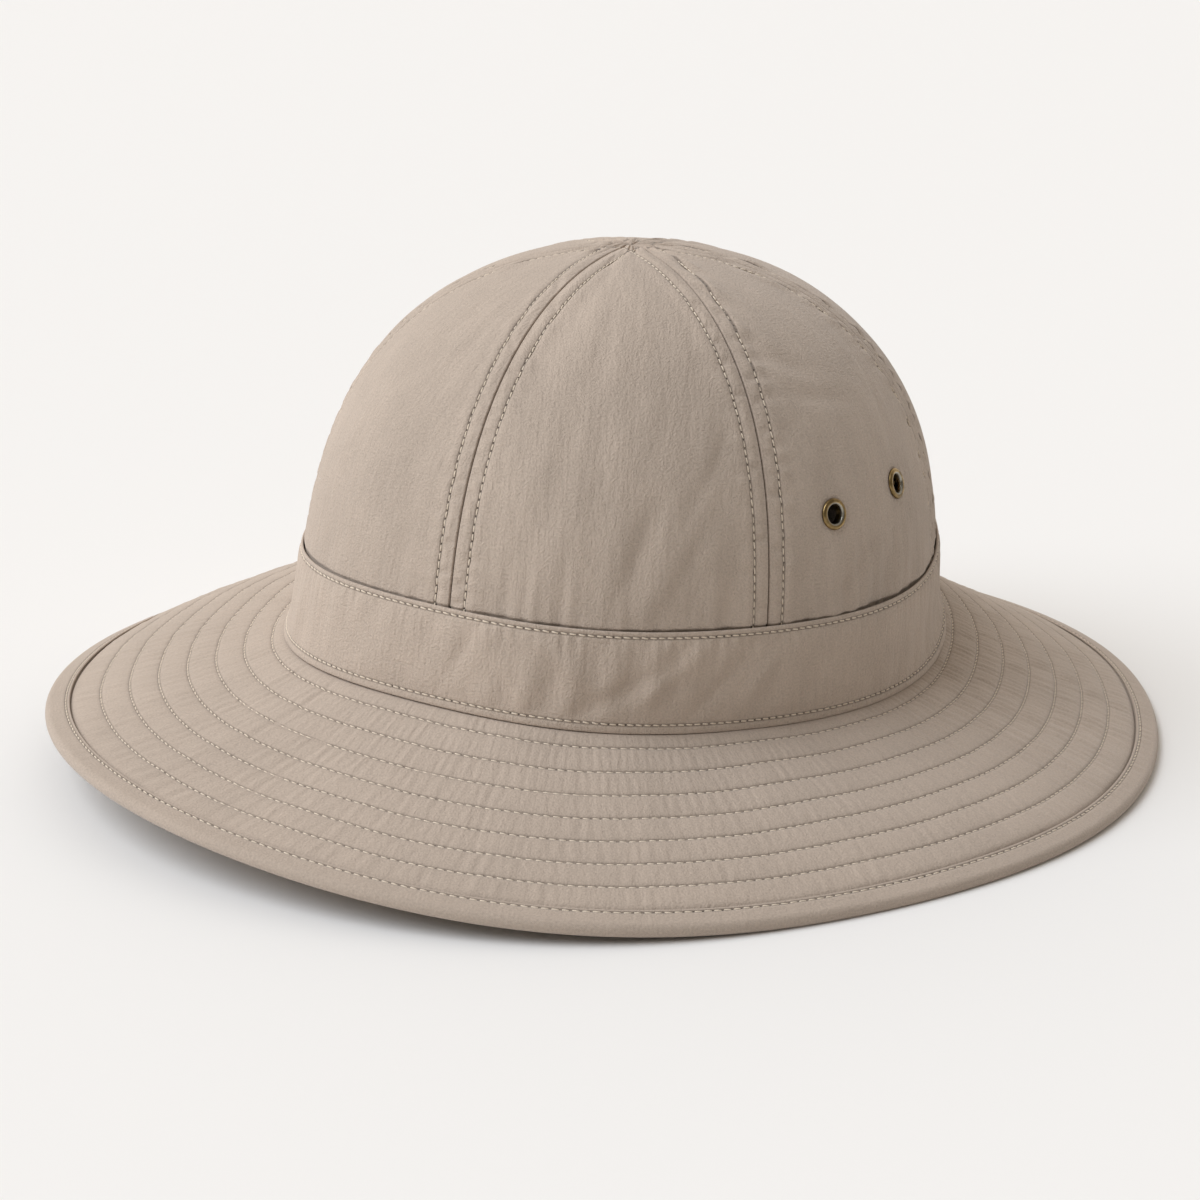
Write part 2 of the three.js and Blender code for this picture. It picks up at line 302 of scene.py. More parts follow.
def brim_layer(angle, reach, depth):
    """The brim's top runs out from the band along a slope of inner + gain * part + droop * part ** 2
    degrees, where part is the share of its width, and depth is measured square to it, downwards."""
    angle, reach, depth = np.broadcast_arrays(*(np.asarray(x, float) for x in (angle, reach, depth)))
    part = np.maximum(reach, 0) / BRIM_WIDTH
    beyond = reach > 0
    inner = BRIM_SLOPE + wave(INNER_SLOPE_WAVES, angle)
    gain = SLOPE_GAIN + wave(OUTER_SLOPE_WAVES, angle)
    here = np.radians(np.where(beyond, inner + gain * part + SLOPE_DROOP * part**2, 0))
    so_far = np.radians(np.where(beyond, inner + gain * part / 2 + SLOPE_DROOP * part**2 / 3, 0))
    level = BAND_OUTSIDE + reach * np.cos(so_far) - depth * np.sin(here)
    point = oval(angle, *FOOT_HALF) + outward(angle) * (level + swell(angle, 0 * part))[..., None]
    point[..., 2] = foot_height(angle) - reach * np.sin(so_far) - depth * np.cos(here)
    return point


# --- Relief of the cloth


def ripple(name, angle, height, shift=0, count=14):
    """A smooth wave in the cloth that closes round the hat: the sum of count cosines of
    turns * angle + climb * height + phase, with whole turns and seeded phases. Its root mean square is
    size, and shift is added to its seed."""
    seed, turns, climb, size = RIPPLES[name]
    rng = np.random.default_rng(seed + shift)
    around = rng.integers(turns[0], turns[1] + 1, count)
    upward = rng.uniform(climb[0], climb[1], count)
    phase = rng.uniform(0, TAU, count)
    total = sum(np.cos(n * angle + TAU * c * height + p) for n, c, p in zip(around, upward, phase))
    return size * (total * math.sqrt(2 / count))


def bump(distance, width):
    """exp(-(distance / width) ** 2): 1 on a line, 0 away from it."""
    return np.exp(-((distance / width) ** 2))


def ease(start, end, x):
    """0 before start, 1 after end, and 3 t ** 2 - 2 t ** 3 between them."""
    t = np.clip((x - start) / (end - start), 0, 1)
    return t * t * (3 - 2 * t)


def turn_from(angle, degrees):
    """The angle measured from a place round the hat, from -half a turn to half a turn."""
    return (angle - math.radians(degrees) + math.pi) % TAU - math.pi


def share_of(region, angle):
    """A smooth share from 0 to 1 that peaks at a region's middle."""
    middle, spread = REGIONS[region]
    return bump(np.degrees(np.abs(turn_from(angle, middle))), spread)


def quilt_distance(reach):
    """Distance to the nearest row of the brim, and that row's number."""
    number = np.clip(np.round((reach - ROW_FIRST) / ROW_SPACING), 0, ROW_COUNT - 1)
    return np.abs(reach - ROW_FIRST - number * ROW_SPACING), number


def brim_relief(angle, reach, side):
    """How far the brim's cloth stands off its smooth form: a soft part of radial puckers that differ from
    lane to lane, and a sewn part of a channel under each row, a puff between rows and a nip along the
    binding's folded edge. side is 1 on the top and -1 on the underside, which has its own seeds."""
    distance, _ = quilt_distance(reach)
    middle = np.clip(distance / (ROW_SPACING / 2), 0, 1)
    edges = ease(-1, 3, reach) * (1 - ease(BINDING_EDGE - 2.05, BINDING_EDGE - 0.15, reach))
    puff = 0.3 * (1 - (1 - middle) ** 2) * edges - CHANNEL_DEPTH * bump(distance, CHANNEL_WIDTH)
    # a real dip along the binding's edge, which the cotton's shader also paints as a dark line of shade
    nip = 0.6 * np.exp(-np.abs(reach - BINDING_EDGE) / 0.4)
    lane = np.floor((reach - ROW_FIRST) / ROW_SPACING)
    share = (reach - ROW_FIRST) / ROW_SPACING - lane
    fine = 0
    for which in range(-1, ROW_COUNT):
        here = (lane == which) * (4 * share * (1 - share)) ** 0.7
        fine = fine + here * ripple("brim lane", angle, reach, 9 * side + which, 10)
    left, right = share_of("brim left", angle), share_of("brim right", angle)
    fine = fine * (0.045 + 0.1 * left + 0.03 * right)
    broad = (0.03 + 0.05 * left + 0.03 * right) * ripple("brim broad", angle, reach, side)
    crossing = 0.015 + 0.035 * share_of("brim front right", angle)
    crossing = crossing * ripple("brim radial", angle, reach, side)
    soft = fine + broad + crossing + ripple("brim sway", angle, reach, side)
    return edges * soft, puff - nip


def folded(angle, height, folds):
    """The sum of soft folds: peak * exp(-(across / width) ** 2 - (along / length) ** 2), where along and
    across are measured on the unrolled cloth from the fold's middle and at its tilt."""
    radius = 92  # the hat's mean one, which unrolls an angle
    total = 0
    for degrees, level, tilt, length, width, peak in folds:
        x, y = radius * turn_from(angle, degrees), height - level
        cos, sin = math.cos(math.radians(tilt)), math.sin(math.radians(tilt))
        total = total + peak * bump(x * cos + y * sin, length) * bump(y * cos - x * sin, width)
    return total


def crown_relief(angle, rise, height, left, right):
    """How far a panel's outside stands off its smooth form, as a soft part and a sewn part. left and right
    are the distances to its two seams. The cloth rounds into each seam, is pinched by each row of
    topstitching, puffs between them, is nipped across every few millimetres and puckers beside them. It
    wavers and folds softly, crinkles upright just over the band, and is drawn in at the band's edge."""
    nearest = np.minimum(left, right)
    lively = (0.45 + 1.3 * share_of("crown front left", angle)) * ease(103, 80, height)
    low = bump(np.maximum(height - 27, 0), 14)
    soft = ripple("crown sway", angle, height) + lively * ripple("crown wrinkle", angle, height)
    soft = soft + lively * (0.5 + low) * ripple("crown slant", angle, height)
    soft = soft + lively * low * ripple("crown crinkle", angle, height)
    soft = soft * ease(0, 12, nearest) + folded(angle, height, CROWN_FOLDS) * ease(2, 8, nearest)
    over_band = CROWN_HEIGHT * np.sin(rise * math.pi / 2) ** (2 / SIDE_FULLNESS) - BAND_TOP
    # a real dent at the band's edge, which the cotton's shader also paints as a dark line of shade
    sewn = -0.5 * bump(np.maximum(over_band, 0), 0.4)
    wrinkled = 0.8 + 1.3 * share_of("crown left", angle) * ease(40, 80, height)
    wrinkled = wrinkled + 1.5 * share_of("crown back left", angle)
    for shift, distance in ((0, left), (6, right)):
        fold = SEAM_FOLD * (1 - np.sqrt(1 - (1 - np.minimum(distance / SEAM_FOLD, 1)) ** 2))
        # a real fold into the seam, which the cotton's shader also paints as a dark line of shade
        sewn = sewn - fold - 0.75 * bump(distance, 0.2)
        sewn = sewn - CHANNEL_DEPTH * bump(distance - TOPSTITCH, CHANNEL_WIDTH)
        sewn = sewn + 0.24 * bump(distance - 2.3, 1.1) + 0.17 * bump(distance - 6, 1.3)
        pucker = ripple("seam pucker", angle, height, shift)
        soft = soft + wrinkled * pucker * bump(distance - 5.6, 2.8)
        nip = ease(0.4, 1.6, ripple("seam nip", angle, height, shift))
        soft = soft + (0.1 - 0.6 * nip) * bump(distance - 2.4, 1.3)
    return soft, sewn


def around_hat(count):
    """count + 1 angles round the hat, from its back to its back again, closer together at its front left:
    t - 0.25 * sin(t - 50 deg), so that neighbours there are 0.75 of the mean step apart."""
    turn = np.linspace(math.pi, 3 * math.pi, count + 1)
    start = turn[0] - 0.25 * math.sin(turn[0] - math.radians(50))
    angle = turn - 0.25 * np.sin(turn - math.radians(50))
    return (angle - start + math.pi)[None, :]


# --- Meshes


def run_along(points):
    """The distance from a path's start to each of its points, along it."""
    steps = np.linalg.norm(np.diff(points, axis=0), axis=-1)
    return np.concatenate([[0], np.cumsum(steps)])


def grid_faces(index):
    """The quads of a grid of vertex numbers, wound so that rows x columns faces outwards."""
    corners = (index[:-1, :-1], index[:-1, 1:], index[1:, 1:], index[1:, :-1])
    return np.stack([c.ravel() for c in corners], axis=-1)


def add_object(name, points, faces, material, layers=(), values=()):
    """A mesh object from millimetre points and quads. layers are (name, corner coordinates) for UV maps,
    and values are (name, number at each vertex)."""
    mesh = bpy.data.meshes.new(name)
    mesh.vertices.add(len(points))
    mesh.vertices.foreach_set("co", (points * METRES).astype(np.float32).ravel())
    mesh.loops.add(faces.size)
    mesh.loops.foreach_set("vertex_index", faces.astype(np.int32).ravel())
    mesh.polygons.add(len(faces))
    sides = faces.shape[1]
    mesh.polygons.foreach_set("loop_start", np.arange(0, faces.size, sides, dtype=np.int32))
    mesh.polygons.foreach_set("use_smooth", np.ones(len(faces), dtype=bool))
    for layer, coordinates in layers:
        uv = mesh.uv_layers.new(name=layer)
        uv.uv.foreach_set("vector", coordinates.astype(np.float32).ravel())
    for value, numbers in values:
        attribute = mesh.attributes.new(value, "FLOAT", "POINT")
        attribute.data.foreach_set("value", numbers.astype(np.float32).ravel())
    mesh.update(calc_edges=True)
    mesh.validate()
    mesh.materials.append(material)
    piece = bpy.data.objects.new(name, mesh)
    bpy.context.scene.collection.objects.link(piece)
    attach(piece, "root")
    return piece


def cut(piece, width, length, area):
    """Notes on a piece the width, length and area that it was cut to, in metres."""
    piece["cut"] = (width * METRES, length * METRES, area * METRES**2)


def placed(points):
    """Points about the crown's axis, moved to its place in the frame."""
    moved = np.array(points, dtype=float)
    moved[..., 0] += AXIS[0]
    moved[..., 1] += AXIS[1]
    return moved


def torus_object(name, points, maps, relief, material, turned=False):
    """A closed section carried round the hat. points is (section, around, 3) and both directions close.
    maps are (name, (section + 1, around + 1, 2) coordinates), which end where they would start again.
    turned runs the section the other way, so that its faces look outwards."""
    if turned:
        points, relief = (np.roll(grid[::-1], 1, axis=0) for grid in (points, relief))
        maps = [(title, uv[::-1]) for title, uv in maps]
    rows, columns, _ = points.shape
    index = np.arange(rows * columns).reshape(rows, columns)
    index = np.pad(index, ((0, 1), (0, 1)), mode="wrap")
    corner = np.arange((rows + 1) * (columns + 1)).reshape(rows + 1, columns + 1)
    faces, corners = grid_faces(index), grid_faces(corner)
    layers = [(title, uv.reshape(-1, 2)[corners.ravel()]) for title, uv in maps]
    return add_object(name, placed(points.reshape(-1, 3)), faces, material, layers, [("relief", relief)])


def strip_maps(section, angle, length, closing, stitch_rows, pitch):
    """The maps of a strip that is carried round the hat. The cloth's map unrolls it, with closing as the
    section's last step, and rows count the stitches along it and hold the distance to the nearest row."""
    run = run_along(section)
    run = np.append(run, run[-1] + closing)
    cloth = np.stack(np.broadcast_arrays(length[None, :], run[:, None]), axis=-1) * METRES
    place = np.append(section[:, 0], section[0, 0])[:, None]
    away = np.min([np.abs(place - row) for row in stitch_rows], axis=0)
    count = round(length[-1] / pitch)
    rows = np.stack(np.broadcast_arrays(count * angle / TAU, away), axis=-1)
    return [("cloth", cloth), ("rows", rows)]


def lathe(profile, steps):
    """A closed profile of (radius, height) turned round +Z: (radius cos t, radius sin t, height)."""
    turn = np.linspace(0, TAU, steps, endpoint=False)
    radius, height = profile[:, 0, None], profile[:, 1, None]
    return np.stack([radius * np.cos(turn), radius * np.sin(turn), height + 0 * turn], axis=-1)


# --- Crown panels


def seam_distance(angle, rise, seam):
    """Distance in plan from a point of the crown to the upright plane through a seam and the crown's
    centre, which leans with the height."""
    centre = np.sin(rise * math.pi / 2)[..., None] ** (2 / SIDE_FULLNESS) * np.array([TOP_LEAN])
    arm = crown_point(seam + 0 * rise, rise)[..., :2] - centre
    towards = arm / np.maximum(np.linalg.norm(arm, axis=-1), 1e-9)[..., None]
    offset = crown_point(angle, rise)[..., :2] - centre
    return np.abs(towards[..., 0] * offset[..., 1] - towards[..., 1] * offset[..., 0])


def even_rises(angle, start, count):
    """count rises from start to the apex, at even steps along the profile."""
    rise = np.concatenate([np.linspace(start, 0.98, 1500), np.linspace(0.98, 1, 400)[1:]])
    length = run_along(crown_point(angle + 0 * rise, rise))
    return np.interp(np.linspace(0, length[-1], count), length, rise)


def panel_columns(half_width):
    """Distances from a seam to the columns of half a panel, close together at the seam's fold and at its
    topstitching. They shrink together where the panel is narrow."""
    near = np.array([0.1, 0.16, 0.24, 0.34, 0.48, 0.66, 0.95, 1.3, 1.8, 2.3, 2.8, 3.3, 3.65])
    near = np.concatenate([near, np.arange(3.85, 4.8, 0.15), [5, 5.35, 5.8, 6.4, 7.1, 7.9]])
    far_share = np.linspace(0, 1, 33)[1:]
    scale = np.minimum(half_width / 14, 1)
    near = near * scale[..., None]
    last = near[..., -1:]
    return np.concatenate([near, last + (half_width[..., None] - last) * far_share], axis=-1)


def panel_grid(seam, following, rows):
    """The angle and rise of each crossing of a panel's rows and columns."""
    rise_low = np.linspace(0, 0.9, 12) * rise_at(BAND_HEIGHT)
    fine = even_rises((seam + following) / 2, float(0.94 * rise_at(BAND_HEIGHT)), rows)
    edge = rise_at(BAND_TOP + np.array([-0.25, 0.1, 0.35, 0.65]))
    rise = np.sort(np.concatenate([rise_low, edge, fine[:-1], [0.99995]]))[:, None]
    spread = np.linspace(0, 1, 65)
    points = crown_point(seam + (following - seam) * spread, rise)
    steps = np.linalg.norm(np.diff(points, axis=1), axis=-1)
    run = np.concatenate([np.zeros_like(rise), np.cumsum(steps, axis=1)], axis=1)
    width = run[:, -1]
    half = panel_columns(width / 2)
    across = np.concatenate([half, width[:, None] - half[:, -2::-1]], axis=1)
    share = np.stack([np.interp(a, r, spread) for a, r in zip(across, run)])
    return seam + (following - seam) * share, np.broadcast_to(rise, share.shape), across


def wall(outside, inside, rim, down, flip):
    """The quads from the outside to the inside over each side of a cell that rim marks. down is 1 where
    those sides run down the columns and 0 where they run along the rows, and flip turns the quads round."""
    row, column = np.nonzero(rim)
    start, end = (row, column), (row + down, column + 1 - down)
    start, end = (end, start) if flip else (start, end)
    return np.stack([inside[start], inside[end], outside[end], outside[start]], axis=-1)


def sheet_object(name, outer, inner, cloth, rows, relief, kept, material):
    """Two like grids, joined at their borders and round the cells that aren't kept."""
    count = outer.shape[0] * outer.shape[1]
    outside = np.arange(count).reshape(outer.shape[:2])
    inside = outside + count
    cells = np.pad(kept, 1)
    above, below = cells[:-1, 1:-1], cells[1:, 1:-1]
    before, after = cells[1:-1, :-1], cells[1:-1, 1:]
    faces = [
        grid_faces(outside)[kept.ravel()],
        grid_faces(inside)[kept.ravel()][:, ::-1],
        wall(outside, inside, below & ~above, 0, False),
        wall(outside, inside, above & ~below, 0, True),
        wall(outside, inside, after & ~before, 1, True),
        wall(outside, inside, before & ~after, 1, False),
    ]
    used, faces = np.unique(np.concatenate(faces), return_inverse=True)
    faces = faces.reshape(-1, 4)
    points = np.concatenate([outer.reshape(-1, 3), inner.reshape(-1, 3)])[used]
    layers = []
    for title, uv in (("cloth", cloth), ("rows", rows)):
        both = np.concatenate([uv.reshape(-1, 2), uv.reshape(-1, 2)])[used]
        layers.append((title, both[faces.ravel()]))
    both = np.concatenate([relief.ravel(), np.zeros(count)])[used]
    return add_object(name, placed(points), faces, material, layers, [("relief", both)])


def eyelet_holes(base):
    """Which cells of a panel's grid lie outside the eyelets' holes, how far each vertex shifts so that
    those round a hole stand on its circle, and the vertices' distances to each eyelet."""
    middle = (base[1:, 1:] + base[:-1, :-1]) / 2
    kept = np.ones(middle.shape[:2], dtype=bool)
    shift = np.zeros_like(base)
    distances = []
    for _, degrees, level in EYELETS:
        centre = crown_point(math.radians(degrees), rise_at(level))
        cells = np.linalg.norm(middle - centre, axis=-1) > EYELET_HOLE
        around = np.pad(cells, 1, constant_values=True)
        corners = np.stack([around[:-1, :-1], around[1:, :-1], around[:-1, 1:], around[1:, 1:]])
        rim = corners.any(axis=0) & ~corners.all(axis=0)
        arm = base - centre
        away = np.linalg.norm(arm, axis=-1)
        shift += np.where(rim, EYELET_HOLE / np.maximum(away, 1e-6) - 1, 0)[..., None] * arm
        kept &= cells
        distances.append(away)
    return kept, shift, distances


def crown_panel(number, rows, pitch, material):
    """One panel between two seams, with its seam allowances doubled on the inside. Also gives the size it
    was cut to."""
    seam = SEAMS[number]
    following = SEAMS[(number + 1) % PANEL_COUNT] + (TAU if number == PANEL_COUNT - 1 else 0)
    angle, rise, across = panel_grid(seam, following, rows)
    left, right = seam_distance(angle, rise, seam), seam_distance(angle, rise, following)
    nearest = np.minimum(left, right)
    base, normal = crown_point(angle, rise), crown_normal(angle, rise)
    height = base[..., 2] - FOOT_HEIGHT
    steps = np.linalg.norm(np.diff(base, axis=0), axis=-1)
    along = np.concatenate([np.zeros((1, base.shape[1])), np.cumsum(steps, axis=0)])
    soft, sewn = crown_relief(angle, rise, height, left, right)
    kept, shift, to_eyelets = eyelet_holes(base)
    for away in to_eyelets:
        soft = soft * (1 - bump(away, EYELET_CALM)) - EYELET_DIMPLE * bump(away - 3.9, 1.3)
    doubled = ALLOWANCE_THICKNESS * (1 - ease(ALLOWANCE - 0.8, ALLOWANCE + 0.3, nearest))
    outer = base + shift + normal * (soft + sewn)[..., None]
    inner = base + shift - normal * (PANEL_THICKNESS + doubled + 0.5 * bump(nearest, 0.4))[..., None]
    for layer in (outer, inner):
        layer[..., 2] -= STANDOFF * (1 - ease(0, 6, height))
    cloth = np.stack([across - across[:, -1:] / 2, along], axis=-1) * METRES
    to_row = np.minimum(np.abs(left - TOPSTITCH), np.abs(right - TOPSTITCH))
    stitches = np.stack([along / pitch, to_row], axis=-1)
    name = f"crown_panel_{number + 1}"
    piece = sheet_object(f"{name}_cloth", outer, inner, cloth, stitches, sewn, kept, material)
    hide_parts(name)
    width, length = across[:, -1] + 2 * ALLOWANCE, along.max(axis=1) + ALLOWANCE
    area = np.sum((width[1:] + width[:-1]) / 2 * np.diff(length)) + ALLOWANCE * width[0]
    return piece, (width.max(), length[-1], area)


# --- Stitches


def stitch_mesh(name, centres, normals, runs, length, width, material, lean=0.0, seed=3):
    """One short thread for each centre: a six-sided tube of five rings whose ends dive into the cloth.
    Ring t, from -1 to 1, stands at run * t * length / 2 and at its own lift along the normal, with the
    radius of a capsule there. lean turns each thread about its normal."""
    rng = np.random.default_rng(seed)
    count = len(centres)
    normals, runs = unit(normals), unit(runs)
    sides = np.cross(normals, runs)
    turn = lean + rng.normal(0, 0.04, count)[:, None]
    runs, sides = runs * np.cos(turn) + sides * np.sin(turn), sides * np.cos(turn) - runs * np.sin(turn)
    t = np.array([-1, -0.8, 0, 0.8, 1])
    ring = np.array([0.5, 0.92, 1, 0.92, 0.5]) * width / 2
    lift = np.array([-0.42, -0.02, 0.1, -0.02, -0.42]) * width
    around = np.linspace(0, TAU, 6, endpoint=False)  # the caps below close six sides
    scale = (length * rng.uniform(0.95, 1.05, count))[:, None]
    spine = centres[:, None] + runs[:, None] * (scale * t / 2)[..., None] + normals[:, None] * lift[:, None]
    across = sides[:, None, None] * (ring[:, None] * np.cos(around))[..., None]
    upward = normals[:, None, None] * (ring[:, None] * np.sin(around) * 0.85)[..., None]
    points = (spine[:, :, None] + across + upward).reshape(-1, 3)
    index = np.arange(len(points)).reshape(count, len(t), len(around))
    index = np.concatenate([index, index[:, :, :1]], axis=2)
    a, b, c, d = index[:, :-1, :-1], index[:, 1:, :-1], index[:, 1:, 1:], index[:, :-1, 1:]
    tubes = np.stack([a, d, c, b], axis=-1).reshape(-1, 4)
    start, end = index[:, 0], index[:, -1]
    caps = [start[:, [3, 2, 1, 0]], start[:, [5, 4, 3, 0]], end[:, [0, 1, 2, 3]], end[:, [0, 3, 4, 5]]]
    return add_object(name, placed(points), np.concatenate([tubes, *caps]), material)


def spaced(points, normals, pitch, closed=False):
    """Centres, normals and directions at even steps of about the pitch along a path."""
    if closed:
        points, normals = np.concatenate([points, points[:1]]), np.concatenate([normals, normals[:1]])
    length = run_along(points)
    count = max(int(round(length[-1] / pitch)), 1)
    at = (np.arange(count) + 0.5) * length[-1] / count

    def sample(values, places):
        """What a list along the path holds at some distances along it."""
        return np.stack([np.interp(places, length, values[:, i]) for i in range(3)], axis=-1)

    run = sample(points, at + 0.3) - sample(points, at - 0.3)
    return sample(points, at), sample(normals, at), run


def seam_row_path(seam, side, limit, offset):
    """The line on the crown at TOPSTITCH from a seam, from under the band to the next seam. The angle
    from the seam is found at each rise by repeated proportion of distances."""
    rise = even_rises(seam, float(0.9 * rise_at(BAND_HEIGHT)), 900)
    step = np.full_like(rise, 0.05)
    for _ in range(30):
        distance = seam_distance(seam + side * step, rise, seam)
        step = np.minimum(step * np.clip(TOPSTITCH / np.maximum(distance, 1e-6), 0.5, 2), limit)
    last = np.argmax(step >= limit - 1e-6) if np.any(step >= limit - 1e-6) else len(rise)
    rise, angle = rise[:last], (seam + side * step)[:last]
    return crown_layer(angle, rise, offset + 0 * rise), crown_normal(angle, rise)


# --- Finishes


def new_group(name, inputs, outputs):
    """A shader node group with named sockets. Each of inputs is (name, kind, default)."""
    group = bpy.data.node_groups.new(name, "ShaderNodeTree")
    for title, kind, default in inputs:
        socket = group.interface.new_socket(name=title, in_out="INPUT", socket_type=f"NodeSocket{kind}")
        if default is not None:
            socket.default_value = default
    for title, kind in outputs:
        group.interface.new_socket(name=title, in_out="OUTPUT", socket_type=f"NodeSocket{kind}")
    return group, group.nodes.new("NodeGroupInput"), group.nodes.new("NodeGroupOutput")


class Wires:
    """Adds nodes to a tree and links what feeds them."""

    def __init__(self, tree):
        self.tree = tree

    def feed(self, node, inputs):
        """Links a node's inputs to the sockets given for them, or sets them to the values given."""
        for socket, value in inputs.items():
            if isinstance(value, bpy.types.NodeSocket):
                self.tree.links.new(value, node.inputs[socket])
            else:
                node.inputs[socket].default_value = value

    def node(self, kind, inputs=None, **settings):
        """A new node of a kind, with its inputs and its other settings."""
        made = self.tree.nodes.new(f"ShaderNode{kind}")
        for setting, value in settings.items():
            setattr(made, setting, value)
        self.feed(made, inputs or {})
        return made

    def maths(self, operation, *values):
        """A number worked out from one or two others, or from more of them one after another."""
        made = self.node("Math", dict(enumerate(values[:2])), operation=operation).outputs[0]
        return self.maths(operation, made, *values[2:]) if len(values) > 2 else made

    def times(self, vector, factor):
        """A vector or colour times a number."""
        return self.node("VectorMath", {0: vector, 3: factor}, operation="SCALE").outputs[0]

    def fade(self, value, start, end, low=0.0, high=1.0):
        """low up to start, high after end, and even steps between them."""
        return self.node("MapRange", {0: value, 1: start, 2: end, 3: low, 4: high}).outputs[0]

    def noise(self, place, scale, detail, roughness=0.5):
        """Noise from 0 to 1, about 0.5, with features about 1 / scale across."""
        inputs = {"Vector": place, "Scale": scale, "Detail": detail, "Roughness": roughness}
        return self.node("TexNoise", inputs).outputs[0]

    def streaks(self, place, scale, detail, roughness):
        """Noise that is finer along one direction than along the other."""
        stretched = self.node("Mapping", {"Vector": place, "Scale": scale}).outputs[0]
        return self.noise(stretched, 1.0, detail, roughness)

    def blend(self, share, first, second):
        """The first colour where share is 0, and the second where it is 1."""
        colours = {0: share, 6: first, 7: second}
        return self.node("Mix", colours, data_type="RGBA").outputs[2]


def weave_group():
    """Woven cotton. Height, in millimetres, is a slanted rib at the thread pitch, slubs, and a crinkle of
    upright marks on the Grain map. The colour clouds over and follows the crinkle and the fibres. On the
    Relief it carries painted shade, darker in valleys and much darker in deep creases, and a painted
    highlight on puffs and crests."""
    group, given, result = new_group(
        "Woven cotton",
        [
            ("Cloth", "Vector", None),
            ("Grain", "Vector", None),
            ("Object", "Vector", None),
            ("Relief", "Float", 0.0),
            ("Colour", "Color", (0.4, 0.33, 0.27, 1)),
            ("Thread pitch", "Float", 0.5),
            ("Cloud", "Float", 0.5),
            ("Crinkle", "Float", 1.0),
            ("Nap", "Float", 1.0),
        ],
        [("Colour", "Color"), ("Height", "Float"), ("Roughness", "Float")],
    )
    w = Wires(group)
    at = given.outputs

    def centred(value, size):
        """Noise taken about 0 and made size high."""
        return w.maths("MULTIPLY", w.maths("SUBTRACT", value, 0.5), size)

    place = w.times(at["Cloth"], w.maths("DIVIDE", 1 / METRES, at["Thread pitch"]))
    split = w.node("SeparateXYZ", {0: place})
    slant = w.maths("SUBTRACT", split.outputs[0], split.outputs[1])
    rib = w.maths("SINE", w.maths("MULTIPLY", slant, TAU))
    slub = w.noise(place, 0.45, 3.0)
    speck = w.noise(place, 0.9, 2.0, 0.6)
    crinkle = centred(w.streaks(at["Grain"], (620.0, 130.0, 1.0), 2.5, 0.55), at["Crinkle"])
    streak = w.streaks(at["Grain"], (70.0, 26.0, 1.0), 3.0, 0.6)
    cloud = w.noise(at["Object"], 26.0, 4.0, 0.6)

    fibres = w.maths("ADD", w.maths("MULTIPLY", slub, 0.13), w.maths("MULTIPLY", speck, 0.12))
    height = w.maths(
        "ADD",
        w.maths("MULTIPLY", rib, 0.012),
        w.maths("MULTIPLY", fibres, at["Nap"]),
        w.maths("MULTIPLY", crinkle, 0.2),
    )
    # painted shade in the relief's valleys and a painted highlight on its puffs and crests
    relief_shade_and_highlight = w.node("Clamp", {0: at["Relief"], 1: -0.5, 2: 0.4}).outputs[0]
    shade = w.maths(
        "ADD",
        centred(cloud, at["Cloud"]),
        centred(streak, w.maths("MULTIPLY", at["Cloud"], 0.6)),
        centred(speck, 0.58),
        w.maths("MULTIPLY", crinkle, 0.09),
        w.maths("MULTIPLY", rib, 0.02),
        w.maths("MULTIPLY", relief_shade_and_highlight, 0.12),
        1.0,
    )
    # painted shade: the colour darkens to 0.3 of itself where the relief sinks into a deep crease
    shade = w.maths("MULTIPLY", shade, w.fade(at["Relief"], -0.36, -0.95, 1.0, 0.3))
    rough = w.maths("ADD", 0.78, w.maths("MULTIPLY", slub, 0.2))
    w.feed(result, {"Colour": w.times(at["Colour"], shade), "Height": height, "Roughness": rough})
    return group


def needle_group():
    """Painted shade where a row is stitched: a dark spot at each needle hole between two stitches, and a thin
    line of shade along the row's channel. Rows holds the number of stitches along it and the distance from
    it in millimetres."""
    group, given, result = new_group(
        "Needle shade",
        [("Rows", "Vector", None), ("Colour", "Color", (0.4, 0.33, 0.27, 1)), ("Depth", "Float", 0.85)],
        [("Colour", "Color")],
    )
    w = Wires(group)
    split = w.node("SeparateXYZ", {0: given.outputs["Rows"]})
    count, aside = split.outputs[0], split.outputs[1]
    share = w.maths("FRACT", w.maths("ADD", count, 0.5))
    along = w.maths("MULTIPLY", w.maths("ABSOLUTE", w.maths("SUBTRACT", share, 0.5)), 2.2)
    square = w.maths("ADD", w.maths("POWER", along, 2.0), w.maths("POWER", aside, 2.0))
    hole_shade = w.fade(w.maths("SQRT", square), 0.44, 0.2)
    # painted shade along the row's channel
    line = w.fade(aside, 0.56, 0.27, high=0.6)
    dark = w.maths("MULTIPLY", w.maths("MAXIMUM", hole_shade, line), given.outputs["Depth"])
    # the dark colour that is blended in as painted shade
    w.feed(result, {"Colour": w.blend(dark, given.outputs["Colour"], (0.06, 0.045, 0.035, 1))})
    return group


def new_material(name):
    """The shader of a new material, and what adds nodes to its tree."""
    material = bpy.data.materials.new(name)
    material.use_nodes = True
    return material.node_tree.nodes["Principled BSDF"], Wires(material.node_tree)


